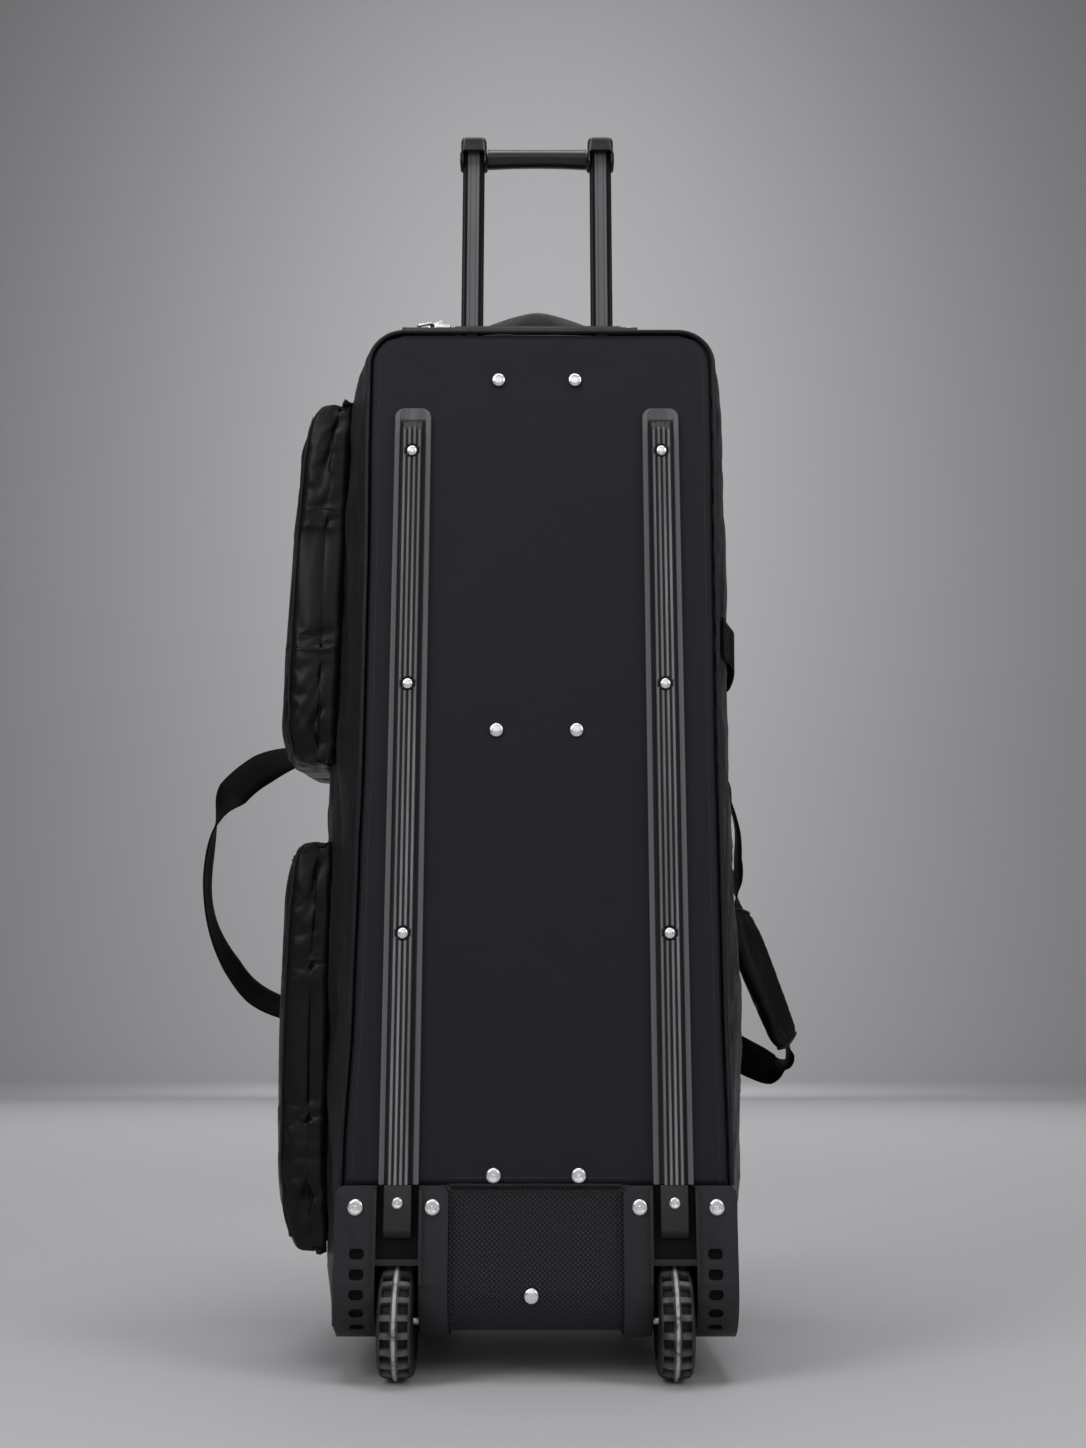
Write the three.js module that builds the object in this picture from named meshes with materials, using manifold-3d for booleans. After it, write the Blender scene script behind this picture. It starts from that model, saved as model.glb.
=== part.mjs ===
// Wheeled cricket kit bag, standing upright on its two wheels and two feet with the pull handle out.
// Millimetres. X runs across the bag, Y from the skid-rail face into the bag, Z up from the floor.
import * as THREE from 'three';
import { mergeVertices } from 'three/addons/utils/BufferGeometryUtils.js';
import Module from 'manifold-3d';

const wasm = await Module();
wasm.setup();

// Driving sizes of the soft body
const FLOOR_CLEARANCE = 38;      // floor to the underside of the base
const BAG_HEIGHT = 936;          // underside of the base to the top seam
const BAG_DEPTH = 330;           // skid-rail face to the front seam
const PANEL_HALF_WIDTH = 168;    // centre line to the side seam
const CORNER_RADIUS = 32;        // top corners of the seam line
const BASE_HEIGHT = 127;         // height of the base panel on the skid-rail face
const BASE_BEND = 45;            // bend of the base panel under the skid-rail face
const FRONT_BEND = 30;           // bend of the base panel under the front
const SIDE_SWELL = 50;           // how far a full side stands out beyond its seam
const TOP_SWELL = 20;            // how far the top stands up beyond its seam
const FRONT_SWELL = 34;          // crown of the front
const FRONT_ROUNDNESS = 2.6;
const SIDE_FULLNESS = 0.85;      // the lower, the squarer the swell across the bag's depth
const TOP_FULLNESS = 0.45;
const SWELL_ROUNDNESS = 2.2;
const FRONT_FOOT_RADIUS = 26;    // lower corners of the front seam
const CLOTH = 2;                 // wall of every cloth panel
const GAP = 0.3;                 // clearance between neighbouring pieces
const SEAM_STEP = 3;             // the side band starts this far behind the skid-rail face
const PANEL_INSET = 1;           // skid-rail face and front stay this far inside the seam line
const ZIP_BORDER = 0.16;         // share of the front taken by the zip band round it
const PIPING = 4.4;              // diameter of the seam piping
const BASE_PIPING = 3.2;
const ZIP_BAND_GAP = 0.003;      // share of the front left open along the zip band

// Side pockets
const UPPER_POCKET_DEPTH = 50;   // how far a pocket stands out from the side
const LOWER_POCKET_DEPTH = 42;
const POCKET_NEAR = 62;          // near edge of the pockets, from the skid-rail face
const POCKET_FAR = 272;          // far edge of the pockets
const POCKET_HEIGHT = 374;
const UPPER_POCKET_FOOT = 516;   // foot of the upper pocket above the underside of the base
const LOWER_POCKET_FOOT = 64;
const POCKET_SEAT = 0.7;         // seam allowance between a pocket and the side
const POCKET_ZIP_WIDTH = 26;
const POCKET_ZIP_THICKNESS = 1.8;
const POCKET_ZIP_SEAT = 1.8;
const POCKET_ZIP_PLACE = 0.24;   // shares of the pocket's half breadth and half height
const POCKET_ZIP_REACH = 0.62;
const POCKET_SQUARENESS = 5.4;
const POCKET_EDGE_ROWS = 0.8;    // below one, rows and columns gather towards the edges

// Webbing
const WEBBING_WIDTH = 38;
const WEBBING = 2.2;
const SIDE_HANDLE_DROP = 305;    // top seam to the middle of the side handle
const SIDE_HANDLE_RISE = 4;      // how far the side handle stands off the side
const SIDE_HANDLE_NEAR = 16;     // ends of the side handle, from the skid-rail face
const SIDE_HANDLE_FAR = 220;
const SIDE_HANDLE_SEAT = 0.8;
const STRAP_STEPS = 36;
const WRAP_WIDTH = 46;
const WRAP_THICKNESS = 17;
const WRAP_WALL = 5;
const WRAP_EDGE = 4;             // the wrap stands out this much round its broad face

// Skid rails
const RAIL_SPACING = 241;        // centre to centre, shared with the wheels
const RAIL_WIDTH = 35;
const RAIL_TOP = 81;             // top seam to the top of a rail
const RAIL_FLANGE = 2;
const RAIL_LIP = 2.2;            // raised border of the flange
const RAIL_LIP_WIDTH = 3.4;
const RAIL_BAR_WIDTH = 19;
const RAIL_BAR_RISE = 6.6;
const RAIL_RIB = 2.4;            // width and rise of one rib
const RAIL_RIBS = 4;
const RAIL_RAMP = 20;
const RAIL_END_WIDTH = 24;
const RAIL_END_HEIGHT = 38;
const RAIL_END_RISE = 7.5;
const RAIL_END_CHAMFER = 6.5;
const RAIL_ROUND = 9;            // corners of the rail's top end
const RAIL_BAR_DROP = 8;         // head of a rail to the top of its bar
const RIB_DRAFT = 0.4;
const STUD_PIT = 1.5;            // the pit round a rail stud is this much larger

// Guards and wheels
const GUARD_INNER = 44;          // wheel centre to the guard's inner edge
const GUARD_OUTER = 55;          // wheel centre to the guard's outer edge
const GUARD_WALL = 5;
const GUARD_CORNER = 8;
const GUARD_REACH = 118;         // how far the guard runs under the bag
const CHANNEL_WIDTH = 37;        // channel in the guard for the end of the rail
const CHANNEL_HEIGHT = 60;
const CHANNEL_DEPTH = 2.4;
const CHANNEL_RIB = 3;           // width and rise of the ribs beside the channel
const SLOT_COUNT = 3;            // slots pressed into a guard beside the wheel
const SLOT_DROP = 57;            // base seam to the first slot
const SLOT_PITCH = 17;
const SLOT_LENGTH = 12;
const SLOT_HEIGHT = 9;
const SLOT_DEPTH = 1.2;
const SLOT_EDGE = 20;            // guard's outer edge to the middle of the slots
const WHEEL_RADIUS = 50;
const WHEEL_WIDTH = 31;
const WHEEL_DEPTH = 22;          // wheel axis behind the skid-rail face
const WHEEL_CLEARANCE = 6;
const WHEEL_SIDE_CLEARANCE = 3.5;
const HOUSING_WALL = 2.5;
const HOUSING_GAP = 0.5;         // base panel to the wheel housing
const HOUSING_ROOM = 8;          // wheel to the ceiling of its housing
const MOUTH_DROP = 1.5;          // top of the wheel to the top of the opening in the guard
const TREAD_LUGS = 20;
const TREAD_DEPTH = 4;
const TREAD_SHOULDER = 3;
const CENTRE_RIB_RISE = 1.5;
const HUB_RADIUS = 32;
const HUB_WIDTH = 27;
const HUB_DISH = 6;              // depth of the dish each side of the hub
const HUB_RIM = 4;
const HUB_BOSS = 6;
const AXLE_RADIUS = 4;
const AXLE_CLEARANCE = 0.1;
const FOOT_LENGTH = 54;
const FOOT_DEPTH = 32;
const FOOT_INSET = 38;           // front seam to the middle of a foot
const FOOT_OFFSET = 6;           // wheel centre to the middle of a foot, towards the centre line
const FOOT_FLANGE = 4;
const FOOT_ROUND = 8;

// Pull handle
const TUBE_SPACING = 130;
const TUBE_WIDTH = 22;
const TUBE_DEPTH = 12;
const TUBE_WALL = 1.4;
const TUBE_GROOVE = 0.9;
const TUBE_GROOVE_WIDTH = 12.5;
const TUBE_ROUND = 3;
const GROOVE_DRAFT = 0.6;
const TUBE_LENGTH = 420;
const HANDLE_SETBACK = 20;       // tube centre behind the skid-rail face
const HANDLE_RISE = 225;         // top seam to the top of the caps, pulled out
const CAP_WIDTH = 28;
const CAP_DEPTH = 24;
const CAP_HEIGHT = 29;
const CAP_SOCKET = 20;
const CAP_ROUND = 5;
const GRIP_HEIGHT = 20;
const GRIP_DEPTH = 19;
const GRIP_ARCH = 1.6;           // hollow along the underside of the grip
const GRIP_DROP = 21;            // cap top to the middle of the grip
const GUIDE_WALL = 2;
const GUIDE_TOP = 14;            // top seam to the top of the guide tubes
const GUIDE_FOOT = 12;           // base seam to the foot of the guide tubes
const BRACKET_HEIGHT = 30;

// Handle slot and its zip
const SLOT_HALF_LENGTH = 84;
const SLOT_NEAR = 11.5;
const SLOT_FAR = 30.5;
const HANDLE_ZIP_LEFT = 134;     // centre line to the zip's left end
const HANDLE_ZIP_RIGHT = 100;
const HANDLE_ZIP_NEAR = 4.5;
const HANDLE_ZIP_FAR = 44;
const HANDLE_ZIP_THICKNESS = 2;
const HANDLE_ZIP_RIDGE = 2.5;    // the near lip stands up this much more
const HANDLE_ZIP_SEAT = 0.8;
const SLOT_ROUND = 6;
const FLAP_HALF_LENGTH = 58;
const FLAP_RISE = 25;
const FLAP_END_RISE = 0.16;      // share of the rise left at the ends of the lip
const FLAP_LEAN = 5;
const FLAP_SETBACK = 3.4;        // slot to the foot of the lip
const SLIDER_X = -95;
const SLIDER_LENGTH = 17;
const SLIDER_WIDTH = 10;
const SLIDER_HEIGHT = 4;
const BRIDGE_PIN = 1;            // radius of the pin that the pull swings on
const BRIDGE_HEIGHT = 4.2;
const BRIDGE_POST = 1.6;
const PULL_LENGTH = 26;
const PULL_WIDTH = 13;
const PULL_THICKNESS = 1.8;
const PULL_RING = 3;             // width of metal round the pull's opening
const PULL_NECK = 9.4;           // pin to the wide part of the pull
const EYE_WALL = 0.9;
const PULL_SWING_CLEARANCE = 0.3;
const PULL_DROOP = 13;           // degrees that the pull hangs below level at rest
const STOP_INSET = 8;            // zip's right end to its stop
const STOP_SIZE = 6;
const STOP_RISE = 2;
const STOP_SEAT = 0.6;

// Studs and screws, all with domed heads
const PANEL_STUD = 13;
const PANEL_STUD_SPACING = 75;
const RAIL_STUD = 10;
const RAIL_STUD_DROP = 46;       // head of a rail to its first stud
const RAIL_STUD_SPACING = 231.5;
const GUARD_SCREW = 14;
const STUD_RISE = 3;
const STUD_CROWN = 0.8;          // share of the radius and of the rise where the dome begins
const STUD_EDGE = 0.7;
const SCREW_DROP = 18;           // base seam to the guard screws
const SCREW_OUTER = 18;          // guard's edges to its screws
const SCREW_INNER = 14;
const END_STUD_DROP = 14;        // base seam to the stud of a rail's end
const BASE_STUD_RISE = 35;       // underside of the base to the base stud
const BASE_STUD_X = -4;
const BRACKET_DROPS = [49.5, 401]; // top seam to the two upper brackets and their studs
const LOW_BRACKET_RISE = 8;      // base seam to the lowest bracket

// Heights and lines that follow from the driving sizes
const TOP = FLOOR_CLEARANCE + BAG_HEIGHT;
const BASE_SEAM = FLOOR_CLEARANCE + BASE_HEIGHT;
const CORNER_FOOT = TOP - CORNER_RADIUS;
const RAIL_X = RAIL_SPACING / 2;
const WALL_FAR = BAG_DEPTH - CLOTH - GAP;
const FRONT_FOOT = FLOOR_CLEARANCE + FRONT_BEND + CLOTH;
const TUBE_X = TUBE_SPACING / 2;
const RAIL_FACE = -(GAP + RAIL_FLANGE);
const BAR_FACE = RAIL_FACE - RAIL_BAR_RISE;
const GUARD_FACE = -(GAP + GUARD_WALL);

// Seam line and swell of the sides. at: share of the bag's height. Seams are shares of the panel's
// half width, swells are shares of the side swell.
const SIDE_SECTIONS = [
  { at: 0.00, leftSeam: 1.02, rightSeam: 1.00, leftSwell: 0.36, rightSwell: 0.16 },
  { at: 0.07, leftSeam: 1.02, rightSeam: 1.01, leftSwell: 0.54, rightSwell: 0.30 },
  { at: 0.16, leftSeam: 1.01, rightSeam: 1.01, leftSwell: 0.72, rightSwell: 0.50 },
  { at: 0.30, leftSeam: 0.98, rightSeam: 1.00, leftSwell: 0.92, rightSwell: 0.66 },
  { at: 0.43, leftSeam: 0.97, rightSeam: 1.00, leftSwell: 0.98, rightSwell: 0.60 },
  { at: 0.55, leftSeam: 0.96, rightSeam: 1.00, leftSwell: 1.00, rightSwell: 0.52 },
  { at: 0.75, leftSeam: 0.96, rightSeam: 1.01, leftSwell: 0.92, rightSwell: 0.54 },
  { at: 0.90, leftSeam: 0.97, rightSeam: 1.02, leftSwell: 0.80, rightSwell: 0.50 },
  { at: 1.00, leftSeam: 0.97, rightSeam: 1.02, leftSwell: 0.62, rightSwell: 0.40 },
];

// Dents and folds of the side band. side: -1 left, 1 right. at: share of the bag's height.
// back: share of its depth. turn: degrees from upright. long, wide: shares of the height. rise: share
// of the side swell, below nought for a dent.
const SIDE_FOLDS = [
  { side: -1, at: 0.50, back: 0.16, turn: 22, long: 0.060, wide: 0.012, rise: -0.10 },
  { side: -1, at: 0.31, back: 0.13, turn: -14, long: 0.090, wide: 0.014, rise: -0.09 },
  { side: -1, at: 0.68, back: 0.14, turn: 10, long: 0.100, wide: 0.013, rise: -0.08 },
  { side: -1, at: 0.92, back: 0.30, turn: 48, long: 0.045, wide: 0.014, rise: -0.10 },
  { side: -1, at: 0.12, back: 0.12, turn: 16, long: 0.060, wide: 0.014, rise: -0.07 },
  { side: 1, at: 0.46, back: 0.30, turn: 12, long: 0.120, wide: 0.020, rise: -0.12 },
  { side: 1, at: 0.80, back: 0.34, turn: -18, long: 0.090, wide: 0.018, rise: -0.10 },
  { side: 1, at: 0.26, back: 0.55, turn: 30, long: 0.090, wide: 0.020, rise: 0.09 },
  { side: 1, at: 0.60, back: 0.72, turn: 70, long: 0.070, wide: 0.018, rise: -0.09 },
];

// Fullness of a pocket. at: share of its height. out: share of the pocket depth. near: how far its
// near edge swings, as a share of the pocket depth.
const POCKET_SECTIONS = [
  { at: 0.00, out: 0.86, near: 0.06 },
  { at: 0.12, out: 1.02, near: -0.04 },
  { at: 0.35, out: 1.04, near: 0.00 },
  { at: 0.62, out: 1.00, near: 0.05 },
  { at: 0.86, out: 0.96, near: -0.03 },
  { at: 1.00, out: 0.84, near: 0.04 },
];

// Folds and gathers of a pocket. at: share of its height. back: share of its breadth. turn: degrees
// from upright. long, wide: shares of its height. rise: share of its depth.
const POCKET_FOLDS = [
  { at: 0.93, back: 0.10, turn: 38, long: 0.110, wide: 0.020, rise: -0.16 },
  { at: 0.84, back: 0.16, turn: 26, long: 0.120, wide: 0.018, rise: -0.12 },
  { at: 0.66, back: 0.12, turn: 16, long: 0.120, wide: 0.020, rise: -0.10 },
  { at: 0.45, back: 0.17, turn: -12, long: 0.110, wide: 0.020, rise: -0.09 },
  { at: 0.24, back: 0.14, turn: -30, long: 0.110, wide: 0.020, rise: -0.13 },
  { at: 0.10, back: 0.10, turn: -44, long: 0.090, wide: 0.022, rise: -0.16 },
  { at: 0.08, back: 0.46, turn: -8, long: 0.080, wide: 0.030, rise: -0.12 },
  { at: 0.94, back: 0.55, turn: 10, long: 0.070, wide: 0.030, rise: -0.11 },
  { at: 0.55, back: 0.62, turn: 32, long: 0.150, wide: 0.026, rise: -0.08 },
  { at: 0.30, back: 0.78, turn: -24, long: 0.130, wide: 0.024, rise: -0.09 },
];

// Carry straps, sewn to the side near the front seam at both ends. out: millimetres beyond the side's
// surface, back: from the skid-rail face, down: below the top seam, turn: degrees from a band that
// stands edge on to the skid-rail face to one that shows it its broad face.
const LEFT_STRAP = [
  { out: 1.9, back: 286, down: 357, turn: 90 },
  { out: 1.9, back: 306, down: 357, turn: 90 },
  { out: 1.9, back: 322, down: 357, turn: 88 },
  { out: 14.0, back: 335, down: 357, turn: 86 },
  { out: 60.0, back: 332, down: 358, turn: 40 },
  { out: 98.0, back: 316, down: 363, turn: 40 },
  { out: 130.0, back: 302, down: 382, turn: 76 },
  { out: 157.0, back: 293, down: 412, turn: 78 },
  { out: 170.0, back: 288, down: 446, turn: 44 },
  { out: 175.0, back: 285, down: 486, turn: 8 },
  { out: 174.0, back: 284, down: 528, turn: 0 },
  { out: 166.0, back: 286, down: 566, turn: -20 },
  { out: 149.0, back: 292, down: 604, turn: -40 },
  { out: 129.0, back: 302, down: 634, turn: -42 },
  { out: 98.0, back: 316, down: 652, turn: -36 },
  { out: 60.0, back: 332, down: 659, turn: -40 },
  { out: 14.0, back: 335, down: 661, turn: -72 },
  { out: 1.9, back: 322, down: 661, turn: -88 },
  { out: 1.9, back: 306, down: 661, turn: -90 },
  { out: 1.9, back: 286, down: 661, turn: -90 },
];

const RIGHT_STRAP = [
  { out: 1.9, back: 286, down: 372, turn: 90 },
  { out: 1.9, back: 306, down: 372, turn: 90 },
  { out: 1.9, back: 322, down: 373, turn: 86 },
  { out: 14.0, back: 334, down: 378, turn: 70 },
  { out: 38.0, back: 331, down: 392, turn: 44 },
  { out: 44.0, back: 319, down: 416, turn: 24 },
  { out: 46.0, back: 307, down: 450, turn: 34 },
  { out: 42.0, back: 299, down: 490, turn: 50 },
  { out: 38.0, back: 294, down: 526, turn: 64 },
  { out: 41.0, back: 290, down: 560, turn: 70 },
  { out: 51.0, back: 288, down: 596, turn: 72 },
  { out: 63.0, back: 287, down: 632, turn: 72 },
  { out: 77.0, back: 288, down: 668, turn: 66 },
  { out: 89.0, back: 292, down: 692, turn: 34 },
  { out: 87.0, back: 298, down: 708, turn: -20 },
  { out: 76.0, back: 304, down: 714, turn: -50 },
  { out: 62.0, back: 312, down: 707, turn: -70 },
  { out: 44.0, back: 322, down: 695, turn: -78 },
  { out: 16.0, back: 335, down: 676, turn: -89 },
  { out: 3.2, back: 324, down: 669, turn: -90 },
  { out: 1.9, back: 306, down: 668, turn: -90 },
  { out: 1.9, back: 286, down: 668, turn: -90 },
];
const WRAP_FROM = 0.42;          // shares of the right strap's length that the grip wrap covers
const WRAP_TO = 0.68;

// Colours and finishes
function finish(color, roughness, metalness) {
  return new THREE.MeshStandardMaterial({ color, roughness, metalness });
}
const finishes = {
  panelCloth: finish(0x24242a, 0.8, 0),
  sideCloth: finish(0x1b1b1e, 0.55, 0),
  pocketCloth: finish(0x141416, 0.42, 0),
  baseCloth: finish(0x1f1f22, 0.85, 0),
  trim: finish(0x18181a, 0.6, 0),
  webbing: finish(0x141415, 0.75, 0),
  railPlastic: finish(0x3a3d40, 0.5, 0),
  guardPlastic: finish(0x1d1e20, 0.6, 0),
  handlePlastic: finish(0x16171a, 0.5, 0),
  tube: finish(0x17181b, 0.4, 0.6),
  nickel: finish(0xcfd0d2, 0.25, 1),
  rubber: finish(0x1b1b1c, 0.9, 0),
  wheelPlastic: finish(0x2b2c2e, 0.5, 0),
  steel: finish(0x9fa1a4, 0.35, 1),
};

const bag = new THREE.Group();

function add(name, geometry, material) {
  const mesh = new THREE.Mesh(geometry, material);
  mesh.name = name;
  bag.add(mesh);
  return mesh;
}

// Small mathematics
const lerp = THREE.MathUtils.lerp;
const radians = THREE.MathUtils.degToRad;

function sample(table, at, column) {
  const last = table.length - 1;
  if (at <= table[0].at) return table[0][column];
  if (at >= table[last].at) return table[last][column];
  const i = table.findIndex((row) => row.at > at) - 1;
  const share = (at - table[i].at) / (table[i + 1].at - table[i].at);
  return lerp(table[i][column], table[i + 1][column], THREE.MathUtils.smoothstep(share, 0, 1));
}

function foldRise(folds, at, back, breadthPerHeight) {
  let rise = 0;
  for (const fold of folds) {
    const up = at - fold.at;
    const over = (back - fold.back) * breadthPerHeight;
    const angle = radians(fold.turn);
    const along = up * Math.cos(angle) + over * Math.sin(angle);
    const across = over * Math.cos(angle) - up * Math.sin(angle);
    rise += fold.rise * Math.exp(-((along / fold.long) ** 2) - (across / fold.wide) ** 2);
  }
  return rise;
}

// Solid helpers
function facets(triangles) {
  const geometry = new THREE.BufferGeometry();
  const numbers = triangles.flatMap((point) => [point.x, point.y, point.z]);
  geometry.setAttribute('position', new THREE.Float32BufferAttribute(numbers, 3));
  return tidied(geometry);
}

function tidied(geometry) {
  const bare = new THREE.BufferGeometry();
  bare.setAttribute('position', geometry.getAttribute('position').clone());
  if (geometry.index) bare.setIndex(geometry.index.clone());
  const merged = mergeVertices(bare, 1e-4);
  const index = merged.index.array;
  const kept = [];
  for (let i = 0; i < index.length; i += 3) {
    const [a, b, c] = [index[i], index[i + 1], index[i + 2]];
    if (a !== b && b !== c && c !== a) kept.push(a, b, c);
  }
  merged.setIndex(kept);
  return merged;
}

function solid(geometry) {
  const plain = tidied(geometry);
  const vertProperties = Float32Array.from(plain.getAttribute('position').array);
  const triVerts = Uint32Array.from(plain.index.array);
  return new wasm.Manifold(new wasm.Mesh({ numProp: 3, vertProperties, triVerts }));
}

function surface(body) {
  const mesh = body.getMesh();
  const geometry = new THREE.BufferGeometry();
  const places = new Float32Array((mesh.vertProperties.length / mesh.numProp) * 3);
  for (let i = 0; i < places.length / 3; i += 1) {
    for (let k = 0; k < 3; k += 1) places[3 * i + k] = mesh.vertProperties[mesh.numProp * i + k];
  }
  geometry.setAttribute('position', new THREE.BufferAttribute(places, 3));
  geometry.setIndex(Array.from(mesh.triVerts));
  return tidied(geometry);
}

function joined(...geometries) {
  return surface(geometries.map(solid).reduce((whole, piece) => whole.add(piece)));
}

function cut(geometry, ...cutters) {
  return surface(cutters.map(solid).reduce((whole, cutter) => whole.subtract(cutter), solid(geometry)));
}

function block(x0, x1, y0, y1, z0, z1) {
  return new THREE.BoxGeometry(x1 - x0, y1 - y0, z1 - z0).translate((x0 + x1) / 2, (y0 + y1) / 2, (z0 + z1) / 2);
}

// A flat outline drawn in X and Z, given a thickness along Y
function plateAlongY(outline, y0, y1) {
  const plate = new THREE.ExtrudeGeometry(new THREE.Shape(outline), { depth: y1 - y0, bevelEnabled: false });
  return plate.rotateX(Math.PI / 2).translate(0, y1, 0);
}

// A profile drawn in Y and Z, given a length along X
function barAlongX(profile, x0, x1) {
  const bar = new THREE.ExtrudeGeometry(new THREE.Shape(profile), { depth: x1 - x0, bevelEnabled: false });
  const turn = new THREE.Matrix4().set(0, 0, 1, x0, 1, 0, 0, 0, 0, 1, 0, 0, 0, 0, 0, 1);
  return bar.applyMatrix4(turn);
}

// A section drawn in X and Y, given a length along Z
function postAlongZ(section, z0, z1) {
  return new THREE.ExtrudeGeometry(section, { depth: z1 - z0, bevelEnabled: false }).translate(0, 0, z0);
}

function roundedOutline(x0, x1, y0, y1, radius, steps = 3) {
  const corners = [
    { x: x1 - radius, y: y0 + radius, from: -90 },
    { x: x1 - radius, y: y1 - radius, from: 0 },
    { x: x0 + radius, y: y1 - radius, from: 90 },
    { x: x0 + radius, y: y0 + radius, from: 180 },
  ];
  return corners.flatMap((corner) => Array.from({ length: steps + 1 }, (_, i) => {
    const angle = radians(corner.from + (90 * i) / steps);
    return new THREE.Vector2(corner.x + radius * Math.cos(angle), corner.y + radius * Math.sin(angle));
  }));
}

function arcPoints(x, y, radius, from, to, steps) {
  return Array.from({ length: steps + 1 }, (_, i) => {
    const angle = radians(lerp(from, to, i / steps));
    return new THREE.Vector2(x + radius * Math.cos(angle), y + radius * Math.sin(angle));
  });
}

function quad(list, a, b, c, d) {
  list.push(a, b, c, a, c, d);
}

// A thin wall between two matching grids of points. Rows and columns run so that their cross product
// faces outwards. A wall closed across its columns is a ring.
function wallBetween(outer, inner, rows, columns, ring = false) {
  const out = [];
  const inside = [];
  for (let i = 0; i <= rows; i += 1) {
    out.push(Array.from({ length: columns + 1 }, (_, j) => outer(i, ring ? j % columns : j)));
    inside.push(Array.from({ length: columns + 1 }, (_, j) => inner(i, ring ? j % columns : j)));
  }
  const list = [];
  for (let i = 0; i < rows; i += 1) {
    for (let j = 0; j < columns; j += 1) {
      quad(list, out[i][j], out[i + 1][j], out[i + 1][j + 1], out[i][j + 1]);
      quad(list, inside[i][j], inside[i][j + 1], inside[i + 1][j + 1], inside[i + 1][j]);
    }
    if (!ring) {
      quad(list, out[i][0], inside[i][0], inside[i + 1][0], out[i + 1][0]);
      quad(list, out[i][columns], out[i + 1][columns], inside[i + 1][columns], inside[i][columns]);
    }
  }
  for (let j = 0; j < columns; j += 1) {
    quad(list, out[0][j], out[0][j + 1], inside[0][j + 1], inside[0][j]);
    quad(list, out[rows][j], inside[rows][j], inside[rows][j + 1], out[rows][j + 1]);
  }
  return facets(list);
}

// A solid skin over a run of matching closed sections, with flat ends
function loft(sections) {
  const list = [];
  const count = sections[0].length;
  for (let i = 0; i + 1 < sections.length; i += 1) {
    for (let j = 0; j < count; j += 1) {
      const k = (j + 1) % count;
      quad(list, sections[i][j], sections[i][k], sections[i + 1][k], sections[i + 1][j]);
    }
  }
  const last = sections[sections.length - 1];
  for (let j = 1; j + 1 < count; j += 1) {
    list.push(sections[0][0], sections[0][j + 1], sections[0][j]);
    list.push(last[0], last[j], last[j + 1]);
  }
  return facets(list);
}

// A tube with thick walls and open ends
function sleeve(outerSections, innerSections) {
  const rows = outerSections.length - 1;
  const columns = outerSections[0].length;
  return wallBetween((i, j) => outerSections[i][j], (i, j) => innerSections[i][j], rows, columns, true);
}

// The body's surfaces
function heightShare(z) {
  return (z - FLOOR_CLEARANCE) / BAG_HEIGHT;
}

function seamX(side, z) {
  return PANEL_HALF_WIDTH * sample(SIDE_SECTIONS, heightShare(z), side < 0 ? 'leftSeam' : 'rightSeam');
}

function sideSwell(side, z) {
  return SIDE_SWELL * sample(SIDE_SECTIONS, heightShare(z), side < 0 ? 'leftSwell' : 'rightSwell');
}

function crown(y, fullness) {
  const across = Math.min(Math.abs((2 * y) / BAG_DEPTH - 1), 1);
  return Math.max(0, 1 - across ** SWELL_ROUNDNESS) ** fullness;
}

function sideX(side, z, y) {
  return seamX(side, z) + sideSwell(side, z) * crown(y, SIDE_FULLNESS);
}

function foldedSideX(side, z, y) {
  const folds = SIDE_FOLDS.filter((fold) => fold.side === side);
  const rise = foldRise(folds, heightShare(z), y / BAG_DEPTH, BAG_DEPTH / BAG_HEIGHT);
  return sideX(side, z, y) + SIDE_SWELL * rise;
}

function topZ(y) {
  return TOP + TOP_SWELL * crown(y, TOP_FULLNESS);
}

// Height of the base panel's outer face, less an inset, at a distance behind the skid-rail face
function undersideZ(y, inset) {
  if (y < BASE_BEND) {
    const reach = Math.min(BASE_BEND - y, BASE_BEND - inset);
    return FLOOR_CLEARANCE + BASE_BEND - Math.sqrt((BASE_BEND - inset) ** 2 - reach ** 2);
  }
  const fromFront = BAG_DEPTH - y;
  if (fromFront < FRONT_BEND) {
    const reach = Math.min(FRONT_BEND - fromFront, FRONT_BEND - inset);
    return FLOOR_CLEARANCE + FRONT_BEND - Math.sqrt((FRONT_BEND - inset) ** 2 - reach ** 2);
  }
  return FLOOR_CLEARANCE + inset;
}

// Stations along the side band: up the left side, over the top and down the right side
const SIDE_STEPS = 12;
const CORNER_STEPS = 4;
const TOP_STEPS = 8;

function bandStations() {
  const stations = [];
  for (let i = 0; i < SIDE_STEPS; i += 1) stations.push({ part: 'side', side: -1, share: i / SIDE_STEPS });
  for (let i = 0; i < CORNER_STEPS; i += 1) stations.push({ part: 'corner', side: -1, share: i / CORNER_STEPS });
  for (let i = 0; i <= TOP_STEPS; i += 1) stations.push({ part: 'top', side: 1, share: i / TOP_STEPS });
  for (let i = CORNER_STEPS - 1; i >= 0; i -= 1) stations.push({ part: 'corner', side: 1, share: i / CORNER_STEPS });
  for (let i = SIDE_STEPS - 1; i >= 0; i -= 1) stations.push({ part: 'side', side: 1, share: i / SIDE_STEPS });
  return stations;
}

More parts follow.
